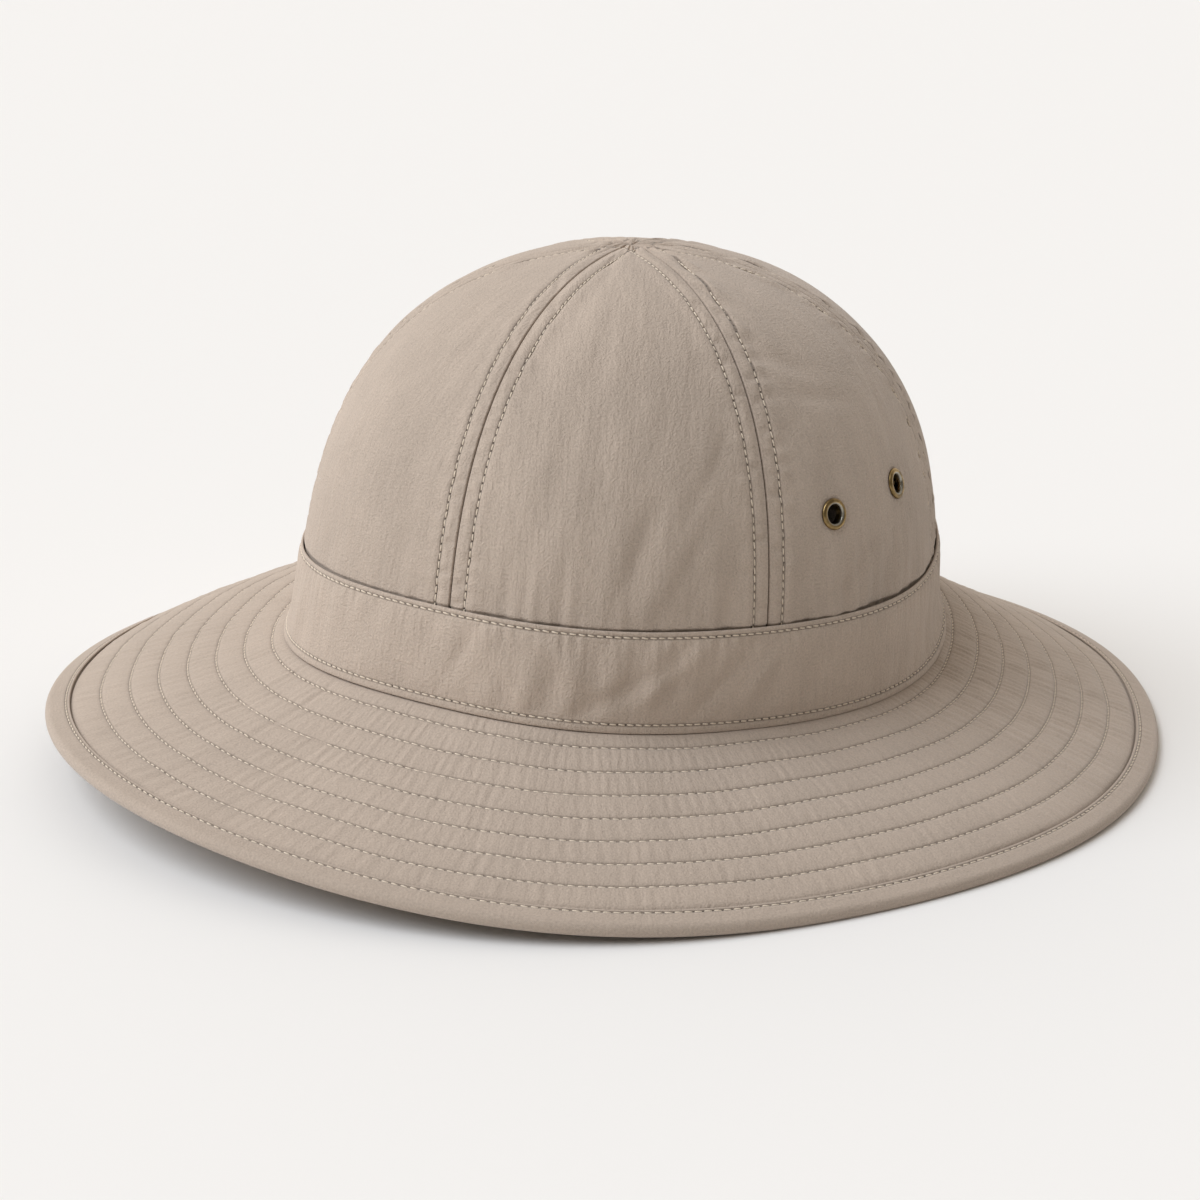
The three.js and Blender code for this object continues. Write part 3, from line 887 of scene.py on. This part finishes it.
def cloth_material(name, settings, weave, needle):
    """Cotton with its weave on the cloth's own map, and painted shade at its needle holes and along its rows
    where it is stitched.
    """
    # holes is the strength of the painted shade at the needle holes and along the rows
    grain, cloud, crinkle, nap, holes, fade = COTTONS[name]
    shader, w = new_material(name)
    sources = {
        "Cloth": w.node("UVMap", uv_map="cloth").outputs[0],
        "Grain": w.node("UVMap", uv_map=grain).outputs[0],
        "Object": w.node("TexCoord").outputs["Object"],
        # the sewn relief, on which the weave paints shade in valleys and creases and a highlight on crests
        "Relief": w.node("Attribute", attribute_name="relief").outputs["Fac"],
        # a share above 1 lightens the cotton; on the band it is painted light
        "Colour": (*(fade * c for c in settings.colour), 1),
        "Thread pitch": settings.thread_pitch / METRES,
        "Cloud": cloud,
        "Crinkle": crinkle,
        "Nap": nap,
    }
    woven = w.node("Group", sources, node_tree=weave)
    rows = w.node("UVMap", uv_map="rows").outputs[0]
    needle_shade_inputs = {"Rows": rows, "Colour": woven.outputs["Colour"], "Depth": holes}
    sewn = w.node("Group", needle_shade_inputs, node_tree=needle)
    raised = w.node("Bump", {"Strength": 1.0, "Distance": METRES, "Height": woven.outputs["Height"]})
    looks = {
        "Base Color": sewn.outputs["Colour"],
        "Roughness": woven.outputs["Roughness"],
        "Normal": raised.outputs[0],
        "Specular IOR Level": 0.15,
        "Sheen Weight": settings.sheen,
        "Sheen Roughness": 0.5,
    }
    w.feed(shader, looks)


def thread_material(name, colour):
    """Spun thread: its fine fibre is in its bump, and a little in its colour."""
    shader, w = new_material(name)
    fibre = w.noise(w.node("TexCoord").outputs["Object"], 2600.0, 2.0)
    tint = w.times(colour, w.maths("ADD", 0.8, w.maths("MULTIPLY", fibre, 0.4)))
    raised = w.node("Bump", {"Strength": 0.4, "Distance": 0.1 * METRES, "Height": fibre})
    looks = {"Base Color": tint, "Normal": raised.outputs[0], "Roughness": 0.7, "Sheen Weight": 0.2}
    w.feed(shader, looks)


def brass_material(name, colour):
    """Aged brass: darker and rougher in patches, and polished to a pale grey where its ring attribute is
    1, towards the bore."""
    shader, w = new_material(name)
    patch = w.noise(w.node("TexCoord").outputs["Object"], 420.0, 4.0)
    worn = w.fade(patch, 0.4, 0.65)
    tint = w.blend(worn, (*colour, 1), (*(0.5 * c for c in colour), 1))
    inner = w.node("Attribute", attribute_name="ring").outputs["Fac"]
    tint = w.blend(inner, tint, (0.34, 0.32, 0.27, 1))
    rough = w.maths("ADD", 0.24, w.maths("MULTIPLY", worn, 0.2))
    w.feed(shader, {"Base Color": tint, "Roughness": rough, "Metallic": 1.0})


def finishes():
    """The materials, made once."""
    scene = bpy.context.scene
    if "Thread" not in bpy.data.materials:
        weave, needle = weave_group(), needle_group()
        for name in COTTONS:
            cloth_material(name, scene.hat_cloth, weave, needle)
        thread_material("Thread", tuple(scene.hat_cloth.thread_colour))
        brass_material("Aged brass", tuple(scene.hat_stage.brass_colour))
    return bpy.data.materials


# --- Settings


class HatClothSettings(bpy.types.PropertyGroup):
    colour: FloatVectorProperty(
        name="Cloth colour",
        description="Base colour of the cotton",
        subtype="COLOR",
        size=3,
        default=(0.477, 0.39, 0.319),
        min=0,
        max=1,
    )
    thread_colour: FloatVectorProperty(
        name="Thread colour",
        description="Colour of the stitching",
        subtype="COLOR",
        size=3,
        default=(0.78, 0.665, 0.53),
        min=0,
        max=1,
    )
    thread_pitch: FloatProperty(
        name="Thread pitch",
        description="Distance between two threads of the weave",
        subtype="DISTANCE",
        default=0.0005,
    )
    sheen: FloatProperty(name="Sheen", description="Nap that catches light at its edge", default=0.25)


class HatSewingSettings(bpy.types.PropertyGroup):
    seam_pitch: FloatProperty(
        name="Seam stitch",
        description="Length of a stitch beside the crown's seams",
        subtype="DISTANCE",
        default=0.00212,
    )
    band_pitch: FloatProperty(
        name="Band stitch", description="Length of a stitch on the band", subtype="DISTANCE", default=0.00225
    )
    brim_pitch: FloatProperty(
        name="Brim stitch", description="Length of a stitch on the brim", subtype="DISTANCE", default=0.0024
    )
    thread_width: FloatProperty(
        name="Thread width", description="Width of the thread", subtype="DISTANCE", default=0.00044
    )
    panel_rows: IntProperty(name="Panel rows", description="Rows of faces over a panel", default=190, min=40)
    around: IntProperty(name="Faces around", description="Faces round the brim's top", default=1110, min=60)


class HatStageSettings(bpy.types.PropertyGroup):
    camera_turn: FloatProperty(
        name="Camera turn",
        description="Camera's place round the hat",
        subtype="ANGLE",
        default=math.radians(32.563),
    )
    camera_distance: FloatProperty(
        name="Camera distance",
        description="Level distance from the crown's axis",
        subtype="DISTANCE",
        default=0.719,
    )
    camera_height: FloatProperty(
        name="Camera height", description="Height over the floor", subtype="DISTANCE", default=0.259556
    )
    lens: FloatProperty(name="Lens", description="Focal length in millimetres", default=80.12)
    key_power: FloatProperty(
        name="Key light",
        description="Strength of the large soft light",
        default=2.14,
    )
    key_spread: FloatProperty(
        name="Key spread",
        description="How large the soft light looks",
        subtype="ANGLE",
        default=math.radians(50),
    )
    room_light: FloatProperty(
        name="Room light",
        description="Strength of the light from all round",
        default=1.273,
    )
    room_shade: FloatProperty(
        name="Room shade",
        description="Share of the room's light on its dark side",
        subtype="FACTOR",
        default=0.085,
    )
    brass_colour: FloatVectorProperty(
        name="Brass colour",
        description="Colour of the eyelets",
        subtype="COLOR",
        size=3,
        default=(0.36, 0.25, 0.11),
        min=0,
        max=1,
    )


# --- Operators


class HatOperator:
    bl_options = {"REGISTER", "UNDO"}


class HAT_OT_crown(HatOperator, bpy.types.Operator):
    """Makes the six panels of the crown"""

    bl_idname = "hat.crown"
    bl_label = "Crown panels"

    def execute(self, context):
        sewing = context.scene.hat_sewing
        material = finishes()["Crown cotton"]
        for number in range(PANEL_COUNT):
            panel, size = crown_panel(number, sewing.panel_rows, sewing.seam_pitch / METRES, material)
            cut(panel, *size)
        return {"FINISHED"}


def band_section():
    """The band's closed section as (height over the crown's foot, distance out from the crown's outside):
    up its outside, over its folded top, down its back, and round its folded foot. Also how many of its
    points are on the outside."""
    rounding = 0.34
    near_foot = [BAND_FOOT + 0.5, 0.5, 0.9, 1.3, 1.6, 1.9, 2.2, 2.5, 2.9, 3.5, 4.3, 5.2, 6.2, 7.5]
    near_top = BAND_TOP - np.array([5.5, 4.4, 3.5, 2.9, 2.4, 2.05, 1.75, 1.5, 1.25, 1.0, 0.75, 0.5])
    up = np.concatenate([near_foot, np.linspace(9, BAND_TOP - 7, 8), near_top])
    turn = np.linspace(0, math.pi, 8)[1:-1]
    outside = [(h, 0.0) for h in up]
    over = [(BAND_TOP - rounding + rounding * math.sin(t), rounding * (math.cos(t) - 1)) for t in turn]
    back = [(h, -2 * rounding) for h in np.linspace(BAND_TOP - 0.5, BAND_FOOT + 0.5, 8)]
    under = [(BAND_FOOT + rounding - rounding * math.sin(t), -rounding * (1 + math.cos(t))) for t in turn]
    return np.array(outside + over + back + under), len(outside)


def band_standoff(height):
    """How far the band's face stands off the crown: it leans in from its foot to its top edge."""
    return BAND_OUTSIDE - BAND_LEAN * np.clip(height / BAND_TOP, 0, 1)


def band_relief(angle, height):
    """A soft part of slanted folds, short upright puckers along the rows and a foot that kicks out at the
    hat's two sides, and a sewn part of channels at the two rows and a puffed face between them."""
    from_top, from_foot = BAND_TOP - height, height
    left, right = share_of("band left", angle), share_of("band right", angle)
    middle = ease(1.2, 4, from_top) * ease(0.5, 6, from_foot)
    slant = (0.06 + 0.13 * share_of("band front left", angle)) * (1 + left)
    soft = slant * ripple("band slant", angle, height) + ripple("band sway", angle, height)
    soft = (soft + folded(angle, height, BAND_FOLDS)) * middle
    upper = (0.085 + 0.06 * left + 0.01 * right) * ease(0.9, 2.2, from_top) * bump(from_top, 6.5)
    lower = (0.02 + 0.06 * left + 0.02 * right) * ease(0.8, 2.4, from_foot) * bump(from_foot, 5)
    soft = soft + upper * ripple("band top", angle, height) + lower * ripple("band foot", angle, height)
    kick = (0.1 + 2.1 * left + 1.2 * right) * ease(8, 0, from_foot) ** 2
    soft = soft + kick - 0.5 * left * bump(from_foot - 11, 6)
    channel = sum(bump(height - row, CHANNEL_WIDTH) for row in BAND_ROWS)
    sewn = 0.22 * ease(1.6, 5, from_top) * ease(2.2, 6, from_foot) - 0.26 * channel
    return soft, sewn


class HAT_OT_band(HatOperator, bpy.types.Operator):
    """Makes the band round the crown's foot"""

    bl_idname = "hat.band"
    bl_label = "Band"

    def execute(self, context):
        pitch = context.scene.hat_sewing.band_pitch / METRES
        section, shown = band_section()
        angle = around_hat(BAND_FACES)
        height, depth = section[:, 0, None], section[:, 1, None]
        soft, sewn = band_relief(angle, height)
        face = (np.arange(len(section)) < shown)[:, None]
        share = np.where(face, 1, ease(-0.68, 0, depth) * 0.85)
        out = band_standoff(height) + depth + (soft + sewn) * share
        sewn = np.broadcast_to(sewn, out.shape)
        points = band_layer(angle, height, out)
        length = run_along(points[0])
        maps = strip_maps(section, angle, length, 0.4, BAND_ROWS, pitch)
        piece = torus_object("band_cloth", points[:, :-1], maps, sewn[:, :-1], finishes()["Band cotton"])
        width = BAND_TOP - BAND_FOOT
        cut(piece, width, length[-1], width * length[-1])
        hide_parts("band")
        return {"FINISHED"}


def brim_maps(angle, reach, depth, pitches):
    """The cloth's map is its plan, the grain's map unrolls it, and rows count the stitches along the
    nearest row."""
    plan = brim_layer(angle, reach, depth)[..., :2] * METRES
    distance, number = quilt_distance(reach)
    count = np.array(pitches)[number.astype(int)]
    rows = np.stack(np.broadcast_arrays(count * angle / TAU, distance), axis=-1)
    grain = np.stack(np.broadcast_arrays(angle * 120, reach + 3 * number), axis=-1) * METRES
    return [("cloth", plan), ("rows", rows), ("grain", grain)]


def row_counts(pitch):
    """Whole numbers of stitches in each of the brim's rows."""
    angle = np.linspace(0, TAU, 721)
    counts = []
    for number in range(ROW_COUNT):
        points = brim_layer(angle, ROW_FIRST + number * ROW_SPACING, 0.0)
        counts.append(round(np.linalg.norm(np.diff(points, axis=0), axis=-1).sum() / pitch))
    return counts


def quilt_reaches(last):
    """Reaches from under the band to last, close together at each row and at the binding's edge."""
    reach = [BRIM_START, -2.5, -0.8, 0.4, 1.4]
    steps = (-2.1, -1.15, -0.65, -0.32, 0.0, 0.32, 0.65, 1.15, 2.1, ROW_SPACING / 2)
    for number in range(ROW_COUNT):
        reach += [ROW_FIRST + number * ROW_SPACING + step for step in steps]
    reach = [r for r in reach if r < BINDING_EDGE - 3.45]
    near_binding = [BINDING_EDGE + step for step in (-2.45, -1.25, -0.65, -0.35, -0.15, 0, 0.35)]
    return np.array(reach + near_binding + [last - 1.2, last])


class HAT_OT_brim(HatOperator, bpy.types.Operator):
    """Makes the brim's two layers of cloth"""

    bl_idname = "hat.brim"
    bl_label = "Brim"

    def execute(self, context):
        sewing = context.scene.hat_sewing
        counts = row_counts(sewing.brim_pitch / METRES)
        for name, side, around in (("brim_top", 1, sewing.around), ("brim_under", -1, UNDERSIDE_FACES)):
            piece = self.layer(name, side, around_hat(around), counts)
            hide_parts("brim")
        return {"FINISHED"}

    def layer(self, name, side, angle, counts):
        """One layer of cloth: its shown face runs out to its raw edge, and its hidden face back again."""
        face = 0.0 if side > 0 else BRIM_THICKNESS
        back = face + side * CLOTH_THICKNESS
        shown = quilt_reaches(BRIM_RAW_EDGE)
        hidden = np.linspace(BRIM_RAW_EDGE, BRIM_START, 5)
        reach = np.concatenate([shown, hidden])[:, None]
        depth = np.concatenate([np.full(len(shown), face), np.full(len(hidden), back)])[:, None]
        soft, sewn = brim_relief(angle, reach, side)
        points = brim_layer(angle, reach, depth - side * (soft + sewn) * (depth == face))
        sewn = np.broadcast_to(sewn, points.shape[:2])
        maps = brim_maps(angle, np.vstack([reach, reach[:1]]), np.vstack([depth, depth[:1]]), counts)
        cotton = finishes()["Brim cotton"]
        piece = torus_object(name, points[:, :-1], maps, sewn[:, :-1], cotton, side > 0)
        smooth = brim_layer(angle, np.linspace(BRIM_START, BRIM_RAW_EDGE, 15)[:, None], face)
        across, along = smooth[1:, 1:] - smooth[:-1, :-1], smooth[1:, :-1] - smooth[:-1, 1:]
        area = np.linalg.norm(np.cross(across, along), axis=-1).sum() / 2
        cut(piece, 2 * (FOOT_HALF[0] + BRIM_RAW_EDGE), 2 * (FOOT_HALF[1] + BRIM_RAW_EDGE), area)
        return piece


def binding_level(reach):
    """How far the binding's face stands off the brim's middle: BINDING_LEVEL at its folded edge, and
    BINDING_BULGE where it turns round the raw edge."""
    share = (reach - BINDING_EDGE) / (BRIM_WIDTH - BINDING_BULGE - BINDING_EDGE)
    return BINDING_LEVEL + (BINDING_BULGE - BINDING_LEVEL) * share


def binding_section():
    """The binding's closed section as (reach, depth under the brim's top), and how many of its points are
    on the outside. That runs from the folded edge on the top, round the brim's raw edge, to the folded
    edge below, and the back follows inside."""
    middle = BRIM_THICKNESS / 2
    edge, fold = BINDING_EDGE, BRIM_WIDTH - BINDING_BULGE
    lip_radius, inside = 0.32, 1.1
    centre = middle + lip_radius - binding_level(edge)
    lip = [
        (edge + lip_radius * (1 - math.sin(t)), centre - lip_radius * math.cos(t))
        for t in np.linspace(math.pi, 0, 8)[1:]
    ]
    reach = np.array([0.5, 0.7, 0.88, 1.05, 1.22, 1.4, 1.65, 2.1, 2.6, 3.2, 3.9, 4.5]) + edge
    top = [(r, middle - binding_level(r)) for r in reach]
    nose = [
        (fold + BINDING_BULGE * math.sin(t), middle - BINDING_BULGE * math.cos(t))
        for t in np.linspace(0, math.pi, 15)
    ]
    outside = lip + top + nose + [(r, 2 * middle - d) for r, d in (top[::-1] + lip[::-1])]
    hidden = [(edge + 0.9, middle + inside), (fold, middle + inside), (fold + 0.8, middle)]
    hidden += [(fold, middle - inside), (edge + 0.9, middle - inside)]
    return np.array(outside + hidden), len(outside)


def binding_relief(angle, reach):
    """A channel at its row, and cross puckers that end before the rolled edge."""
    puckers = ripple("binding cross", angle, reach) + ripple("binding broad", angle, reach)
    flat = ease(BINDING_EDGE + 0.15, BINDING_EDGE + 1.55, reach) * ease(66, 64, reach)
    strength = (0.5 + 0.9 * share_of("binding left", angle)) * flat
    return puckers * strength - CHANNEL_DEPTH * bump(reach - BINDING_ROW, 0.4)


class HAT_OT_binding(HatOperator, bpy.types.Operator):
    """Makes the binding round the brim's edge"""

    bl_idname = "hat.binding"
    bl_label = "Binding"

    def execute(self, context):
        pitch = context.scene.hat_sewing.brim_pitch / METRES
        section, shown = binding_section()
        angle = around_hat(BINDING_FACES)
        reach, depth = section[:, 0, None], section[:, 1, None]
        side = np.clip((BRIM_THICKNESS / 2 - depth) / 1.2, -1, 1)
        relief = binding_relief(angle, reach) * (np.arange(len(section)) < shown)[:, None]
        points = brim_layer(angle, reach, depth - relief * side)
        points[..., 2] = np.maximum(points[..., 2], 0)
        length = run_along(points[10])
        maps = strip_maps(section, angle, length, 1, [BINDING_ROW], pitch)
        cotton = finishes()["Binding cotton"]
        piece = torus_object("binding_cloth", points[:, :-1], maps, relief[:, :-1], cotton, True)
        width = run_along(section)[shown - 1]
        cut(piece, width, length[-1], width * length[-1])
        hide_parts("brim_binding")
        return {"FINISHED"}


def surface_normals(place, angle, reach):
    """The cross product of a step along the reach and a step round the hat."""
    step = 0.01
    run = place(angle + step, reach) - place(angle - step, reach)
    out = place(angle, reach + step) - place(angle, reach - step)
    return unit(np.cross(out, run))


class HAT_OT_stitching(HatOperator, bpy.types.Operator):
    """Makes the thread of every stitched row"""

    bl_idname = "hat.stitching"
    bl_label = "Stitching"

    def execute(self, context):
        sewing = context.scene.hat_sewing
        thread = finishes()["Thread"]
        width = sewing.thread_width / METRES

        def sew(name, parts, pitch, lean, seed):
            """One piece of thread for all the stitches of some rows."""
            centres, normals, runs = (np.concatenate(p) for p in zip(*parts))
            length = pitch * STITCH_SHARE
            piece = stitch_mesh(name, centres, normals, runs, length, width, thread, lean, seed)

        pitch = sewing.seam_pitch / METRES
        for name, side_out, offset in (("seam_stitches", 1, -0.2), ("seam_stitches_inside", -1, -1.85)):
            parts = []
            for number, seam in enumerate(SEAMS):
                before = (seam - SEAMS[number - 1]) % TAU
                after = (SEAMS[(number + 1) % PANEL_COUNT] - seam) % TAU
                for side, limit in ((-1, before), (1, after)):
                    path, normals = seam_row_path(seam, side, limit, offset)
                    parts.append(spaced(path, side_out * normals, pitch))
            sew(name, parts, pitch, 0.06, 5)

        angle = around_hat(1440)[0, :-1]
        pitch = sewing.band_pitch / METRES
        parts = []
        for level in BAND_ROWS:
            height = np.full_like(angle, level)
            out = band_standoff(height) + sum(band_relief(angle, height)) + 0.04
            normals = crown_normal(angle, rise_at(height))
            parts.append(spaced(band_layer(angle, height, out), normals, pitch, True))
        sew("band_stitches", parts, pitch, -0.1, 6)

        pitch = sewing.brim_pitch / METRES
        for side, ending in ((1, ""), (-1, "_under")):

            def surface(angle, reach, lift=0.0, bound=False):
                """The face of the brim, or of the binding, on this side."""
                level = (binding_level(reach) if bound else BRIM_THICKNESS / 2) + lift
                return brim_layer(angle, reach, BRIM_THICKNESS / 2 - side * level)

            parts = []
            for number in range(ROW_COUNT):
                reach = np.full_like(angle, ROW_FIRST + number * ROW_SPACING)
                path = surface(angle, reach, sum(brim_relief(angle, reach, side)) - 0.01)
                parts.append(spaced(path, side * surface_normals(surface, angle, reach), pitch, True))
            sew("brim_stitches" + ending, parts, pitch, -0.1 * side, 7)
            reach = np.full_like(angle, BINDING_ROW)
            path = surface(angle, reach, binding_relief(angle, reach) + 0.02, True)
            part = spaced(path, side * surface_normals(surface, angle, reach), pitch, True)
            sew("binding_stitches" + ending, [part], pitch, -0.1 * side, 8)
        return {"FINISHED"}


def eyelet_profile():
    """The closed section of an eyelet as (radius, height over the cloth): down its bore, out under the
    inner washer, back to the barrel, up it, and over the rolled flange."""
    roll = np.linspace(0, math.pi, 16)
    flange = np.stack([3.3 - 0.8 * np.cos(roll[::-1]), 0.1 + 0.62 * np.sin(roll)], axis=-1)
    bore = np.array([[2.38, -0.25], [2.36, -1.0], [2.4, -1.9]])
    washer = np.array([[2.8, -2.25], [4.0, -2.2], [4.15, -1.9], [4.0, -1.75]])
    barrel = np.array([[2.75, -1.7], [2.75, -0.1], [4.05, -0.12]])
    return np.concatenate([bore, washer, barrel, flange])


class HAT_OT_eyelets(HatOperator, bpy.types.Operator):
    """Makes the four brass eyelets"""

    bl_idname = "hat.eyelets"
    bl_label = "Eyelets"

    def execute(self, context):
        profile = eyelet_profile()
        ring = lathe(profile, 56)
        rows, columns, _ = ring.shape
        inner = np.repeat((profile[:, 0] < 3.0) & (profile[:, 1] > 0), columns)
        index = np.pad(np.arange(rows * columns).reshape(rows, columns), ((0, 1), (0, 1)), mode="wrap")
        for name, degrees, level in EYELETS:
            angle, rise = np.array(math.radians(degrees)), rise_at(level)
            centre = crown_layer(angle, rise, -EYELET_SINK)
            facing = crown_normal(angle, rise)
            side = unit(np.cross([0.0, 0.0, 1.0], facing))
            axes = np.stack([side, np.cross(facing, side), facing])
            points = placed(centre + ring.reshape(-1, 3) @ axes)
            brass = finishes()["Aged brass"]
            piece = add_object(f"{name}_brass", points, grid_faces(index), brass, (), [("ring", inner)])
            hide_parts(name)
        return {"FINISHED"}


class HAT_OT_sheets(HatOperator, bpy.types.Operator):
    """Makes a list of each piece of cloth with the part it is sewn to and its stitches, and keeps it nowhere
    """

    bl_idname = "hat.sheets"
    bl_label = "Cloth sizes"

    def execute(self, context):
        seams = ("seam_stitches", "seam_stitches_inside")
        sheets = [(f"crown_panel_{number + 1}_cloth", "brim", seams) for number in range(PANEL_COUNT)]
        sheets += [
            ("band_cloth", "brim", ("band_stitches",)),
            ("brim_top", "brim_binding", ("brim_stitches",)),
            ("brim_under", "brim_binding", ("brim_stitches_under",)),
            ("binding_cloth", (), ("binding_stitches", "binding_stitches_under")),
        ]
        return {"FINISHED"}


class HAT_OT_stage(HatOperator, bpy.types.Operator):
    """Makes the floor, the lights and the camera"""

    bl_idname = "hat.stage"
    bl_label = "Stage"

    def execute(self, context):
        scene, settings = context.scene, context.scene.hat_stage
        scene.view_settings.view_transform = "Standard"
        turn = settings.camera_turn
        eye = settings.camera_distance * Vector((math.sin(turn), -math.cos(turn), 0))
        eye += Vector((AXIS[0] * METRES, AXIS[1] * METRES, settings.camera_height))
        yaw, pitch = turn + math.radians(CAMERA_YAW), math.radians(CAMERA_DIP)
        ahead = Vector((-math.sin(yaw) * math.cos(pitch), math.cos(yaw) * math.cos(pitch), -math.sin(pitch)))
        level = Vector((ahead.x, ahead.y, 0)).normalized()
        over = Vector((0, 0, 1))
        right = level.cross(over)
        self.floor()
        self.sun(scene, settings, self.mixed(KEY_FROM, (right, ahead, over)))
        self.room(scene, settings, self.mixed(ROOM_SHADED, (right, level, over)).normalized())
        self.camera(scene, settings, eye, ahead, right)
        return {"FINISHED"}

    def mixed(self, shares, axes):
        """The sum of each axis times its share."""
        return sum((share * axis for share, axis in zip(shares, axes)), Vector((0, 0, 0)))

    def camera(self, scene, settings, eye, ahead, right):
        """A camera at eye that looks ahead, rolled about that line."""
        up, roll = right.cross(ahead), math.radians(CAMERA_ROLL)
        cos, sin = math.cos(roll), math.sin(roll)
        axes = (cos * right + sin * up, cos * up - sin * right, -ahead)
        camera = bpy.data.cameras.new("Camera")
        camera.lens, camera.sensor_width, camera.clip_end = settings.lens, 36, 100
        holder = bpy.data.objects.new("Camera", camera)
        holder.matrix_world = Matrix.Translation(eye) @ Matrix(axes).transposed().to_4x4()
        scene.collection.objects.link(holder)
        scene.camera = holder

    def floor(self):
        """A level square, (x, y, 0), far wider than the view."""
        corners = FLOOR_HALF * np.array([[-1.0, -1, 0], [1, -1, 0], [1, 1, 0], [-1, 1, 0]])
        shader, w = new_material("Pale floor")
        w.feed(shader, {"Base Color": FLOOR_COLOUR, "Roughness": 0.7, "Specular IOR Level": 0.1})
        floor = add_object("floor", corners, np.array([[0, 1, 2, 3]]), bpy.data.materials["Pale floor"])

    def sun(self, scene, settings, towards):
        """One large soft light, the same all over the floor, that shines from the side it is towards."""
        lamp = bpy.data.lights.new("Key", "SUN")
        lamp.energy, lamp.angle, lamp.color = settings.key_power, settings.key_spread, KEY_COLOUR
        holder = bpy.data.objects.new("Key", lamp)
        holder.matrix_world = towards.to_track_quat("Z", "Y").to_matrix().to_4x4()
        scene.collection.objects.link(holder)

    def room(self, scene, settings, shaded):
        """Light from all round, darkest from the direction shaded:
        dark + (bright - dark) * (1 - shaded . direction) / 2. The camera sees an even pale colour instead."""
        world = bpy.data.worlds.new("Room")
        world.use_nodes = True
        w = Wires(world.node_tree)
        heading = w.node("TexCoord").outputs["Generated"]
        product = w.node("VectorMath", {0: heading, 1: tuple(shaded)}, operation="DOT_PRODUCT")
        bright, dark = settings.room_light, settings.room_light * settings.room_shade
        light = w.fade(w.fade(product.outputs["Value"], 1.0, -1.0), 0.0, 1.0, dark, bright)
        seen = w.node("LightPath").outputs["Is Camera Ray"]
        strength = w.node("Mix", {0: seen, 2: light, 3: ROOM_SEEN}).outputs[0]
        w.feed(world.node_tree.nodes["Background"], {"Color": ROOM_COLOUR, "Strength": strength})
        scene.world = world


# --- Sidebar and registration

OPERATORS = (
    HAT_OT_stage,
    HAT_OT_crown,
    HAT_OT_band,
    HAT_OT_brim,
    HAT_OT_binding,
    HAT_OT_stitching,
    HAT_OT_eyelets,
    HAT_OT_sheets,
)
SETTINGS = (
    ("hat_cloth", HatClothSettings),
    ("hat_sewing", HatSewingSettings),
    ("hat_stage", HatStageSettings),
)


class HAT_PT_sidebar(bpy.types.Panel):
    bl_label = "Cloth hat"
    bl_space_type = "VIEW_3D"
    bl_region_type = "UI"
    bl_category = "Hat"

    def draw(self, context):
        for name, group in SETTINGS:
            for setting in group.__annotations__:
                self.layout.prop(getattr(context.scene, name), setting)
        for operator in OPERATORS:
            self.layout.operator(operator.bl_idname)


def register():
    """Adds the settings to the scene, and the operators and the panel to Blender."""
    for name, group in SETTINGS:
        bpy.utils.register_class(group)
        setattr(bpy.types.Scene, name, PointerProperty(type=group))
    for item in (*OPERATORS, HAT_PT_sidebar):
        bpy.utils.register_class(item)


def unregister():
    """Takes away what register added."""
    for item in reversed((*OPERATORS, HAT_PT_sidebar)):
        bpy.utils.unregister_class(item)
    for name, group in reversed(SETTINGS):
        delattr(bpy.types.Scene, name)
        bpy.utils.unregister_class(group)


def main():
    """Makes the whole hat."""
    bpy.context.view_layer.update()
    register()
    bpy.ops.hat.stage()
    bpy.ops.hat.crown()
    bpy.ops.hat.band()
    bpy.ops.hat.brim()
    bpy.ops.hat.binding()
    bpy.ops.hat.stitching()
    bpy.ops.hat.eyelets()
    bpy.ops.hat.sheets()


if __name__ == "__main__":
    main()
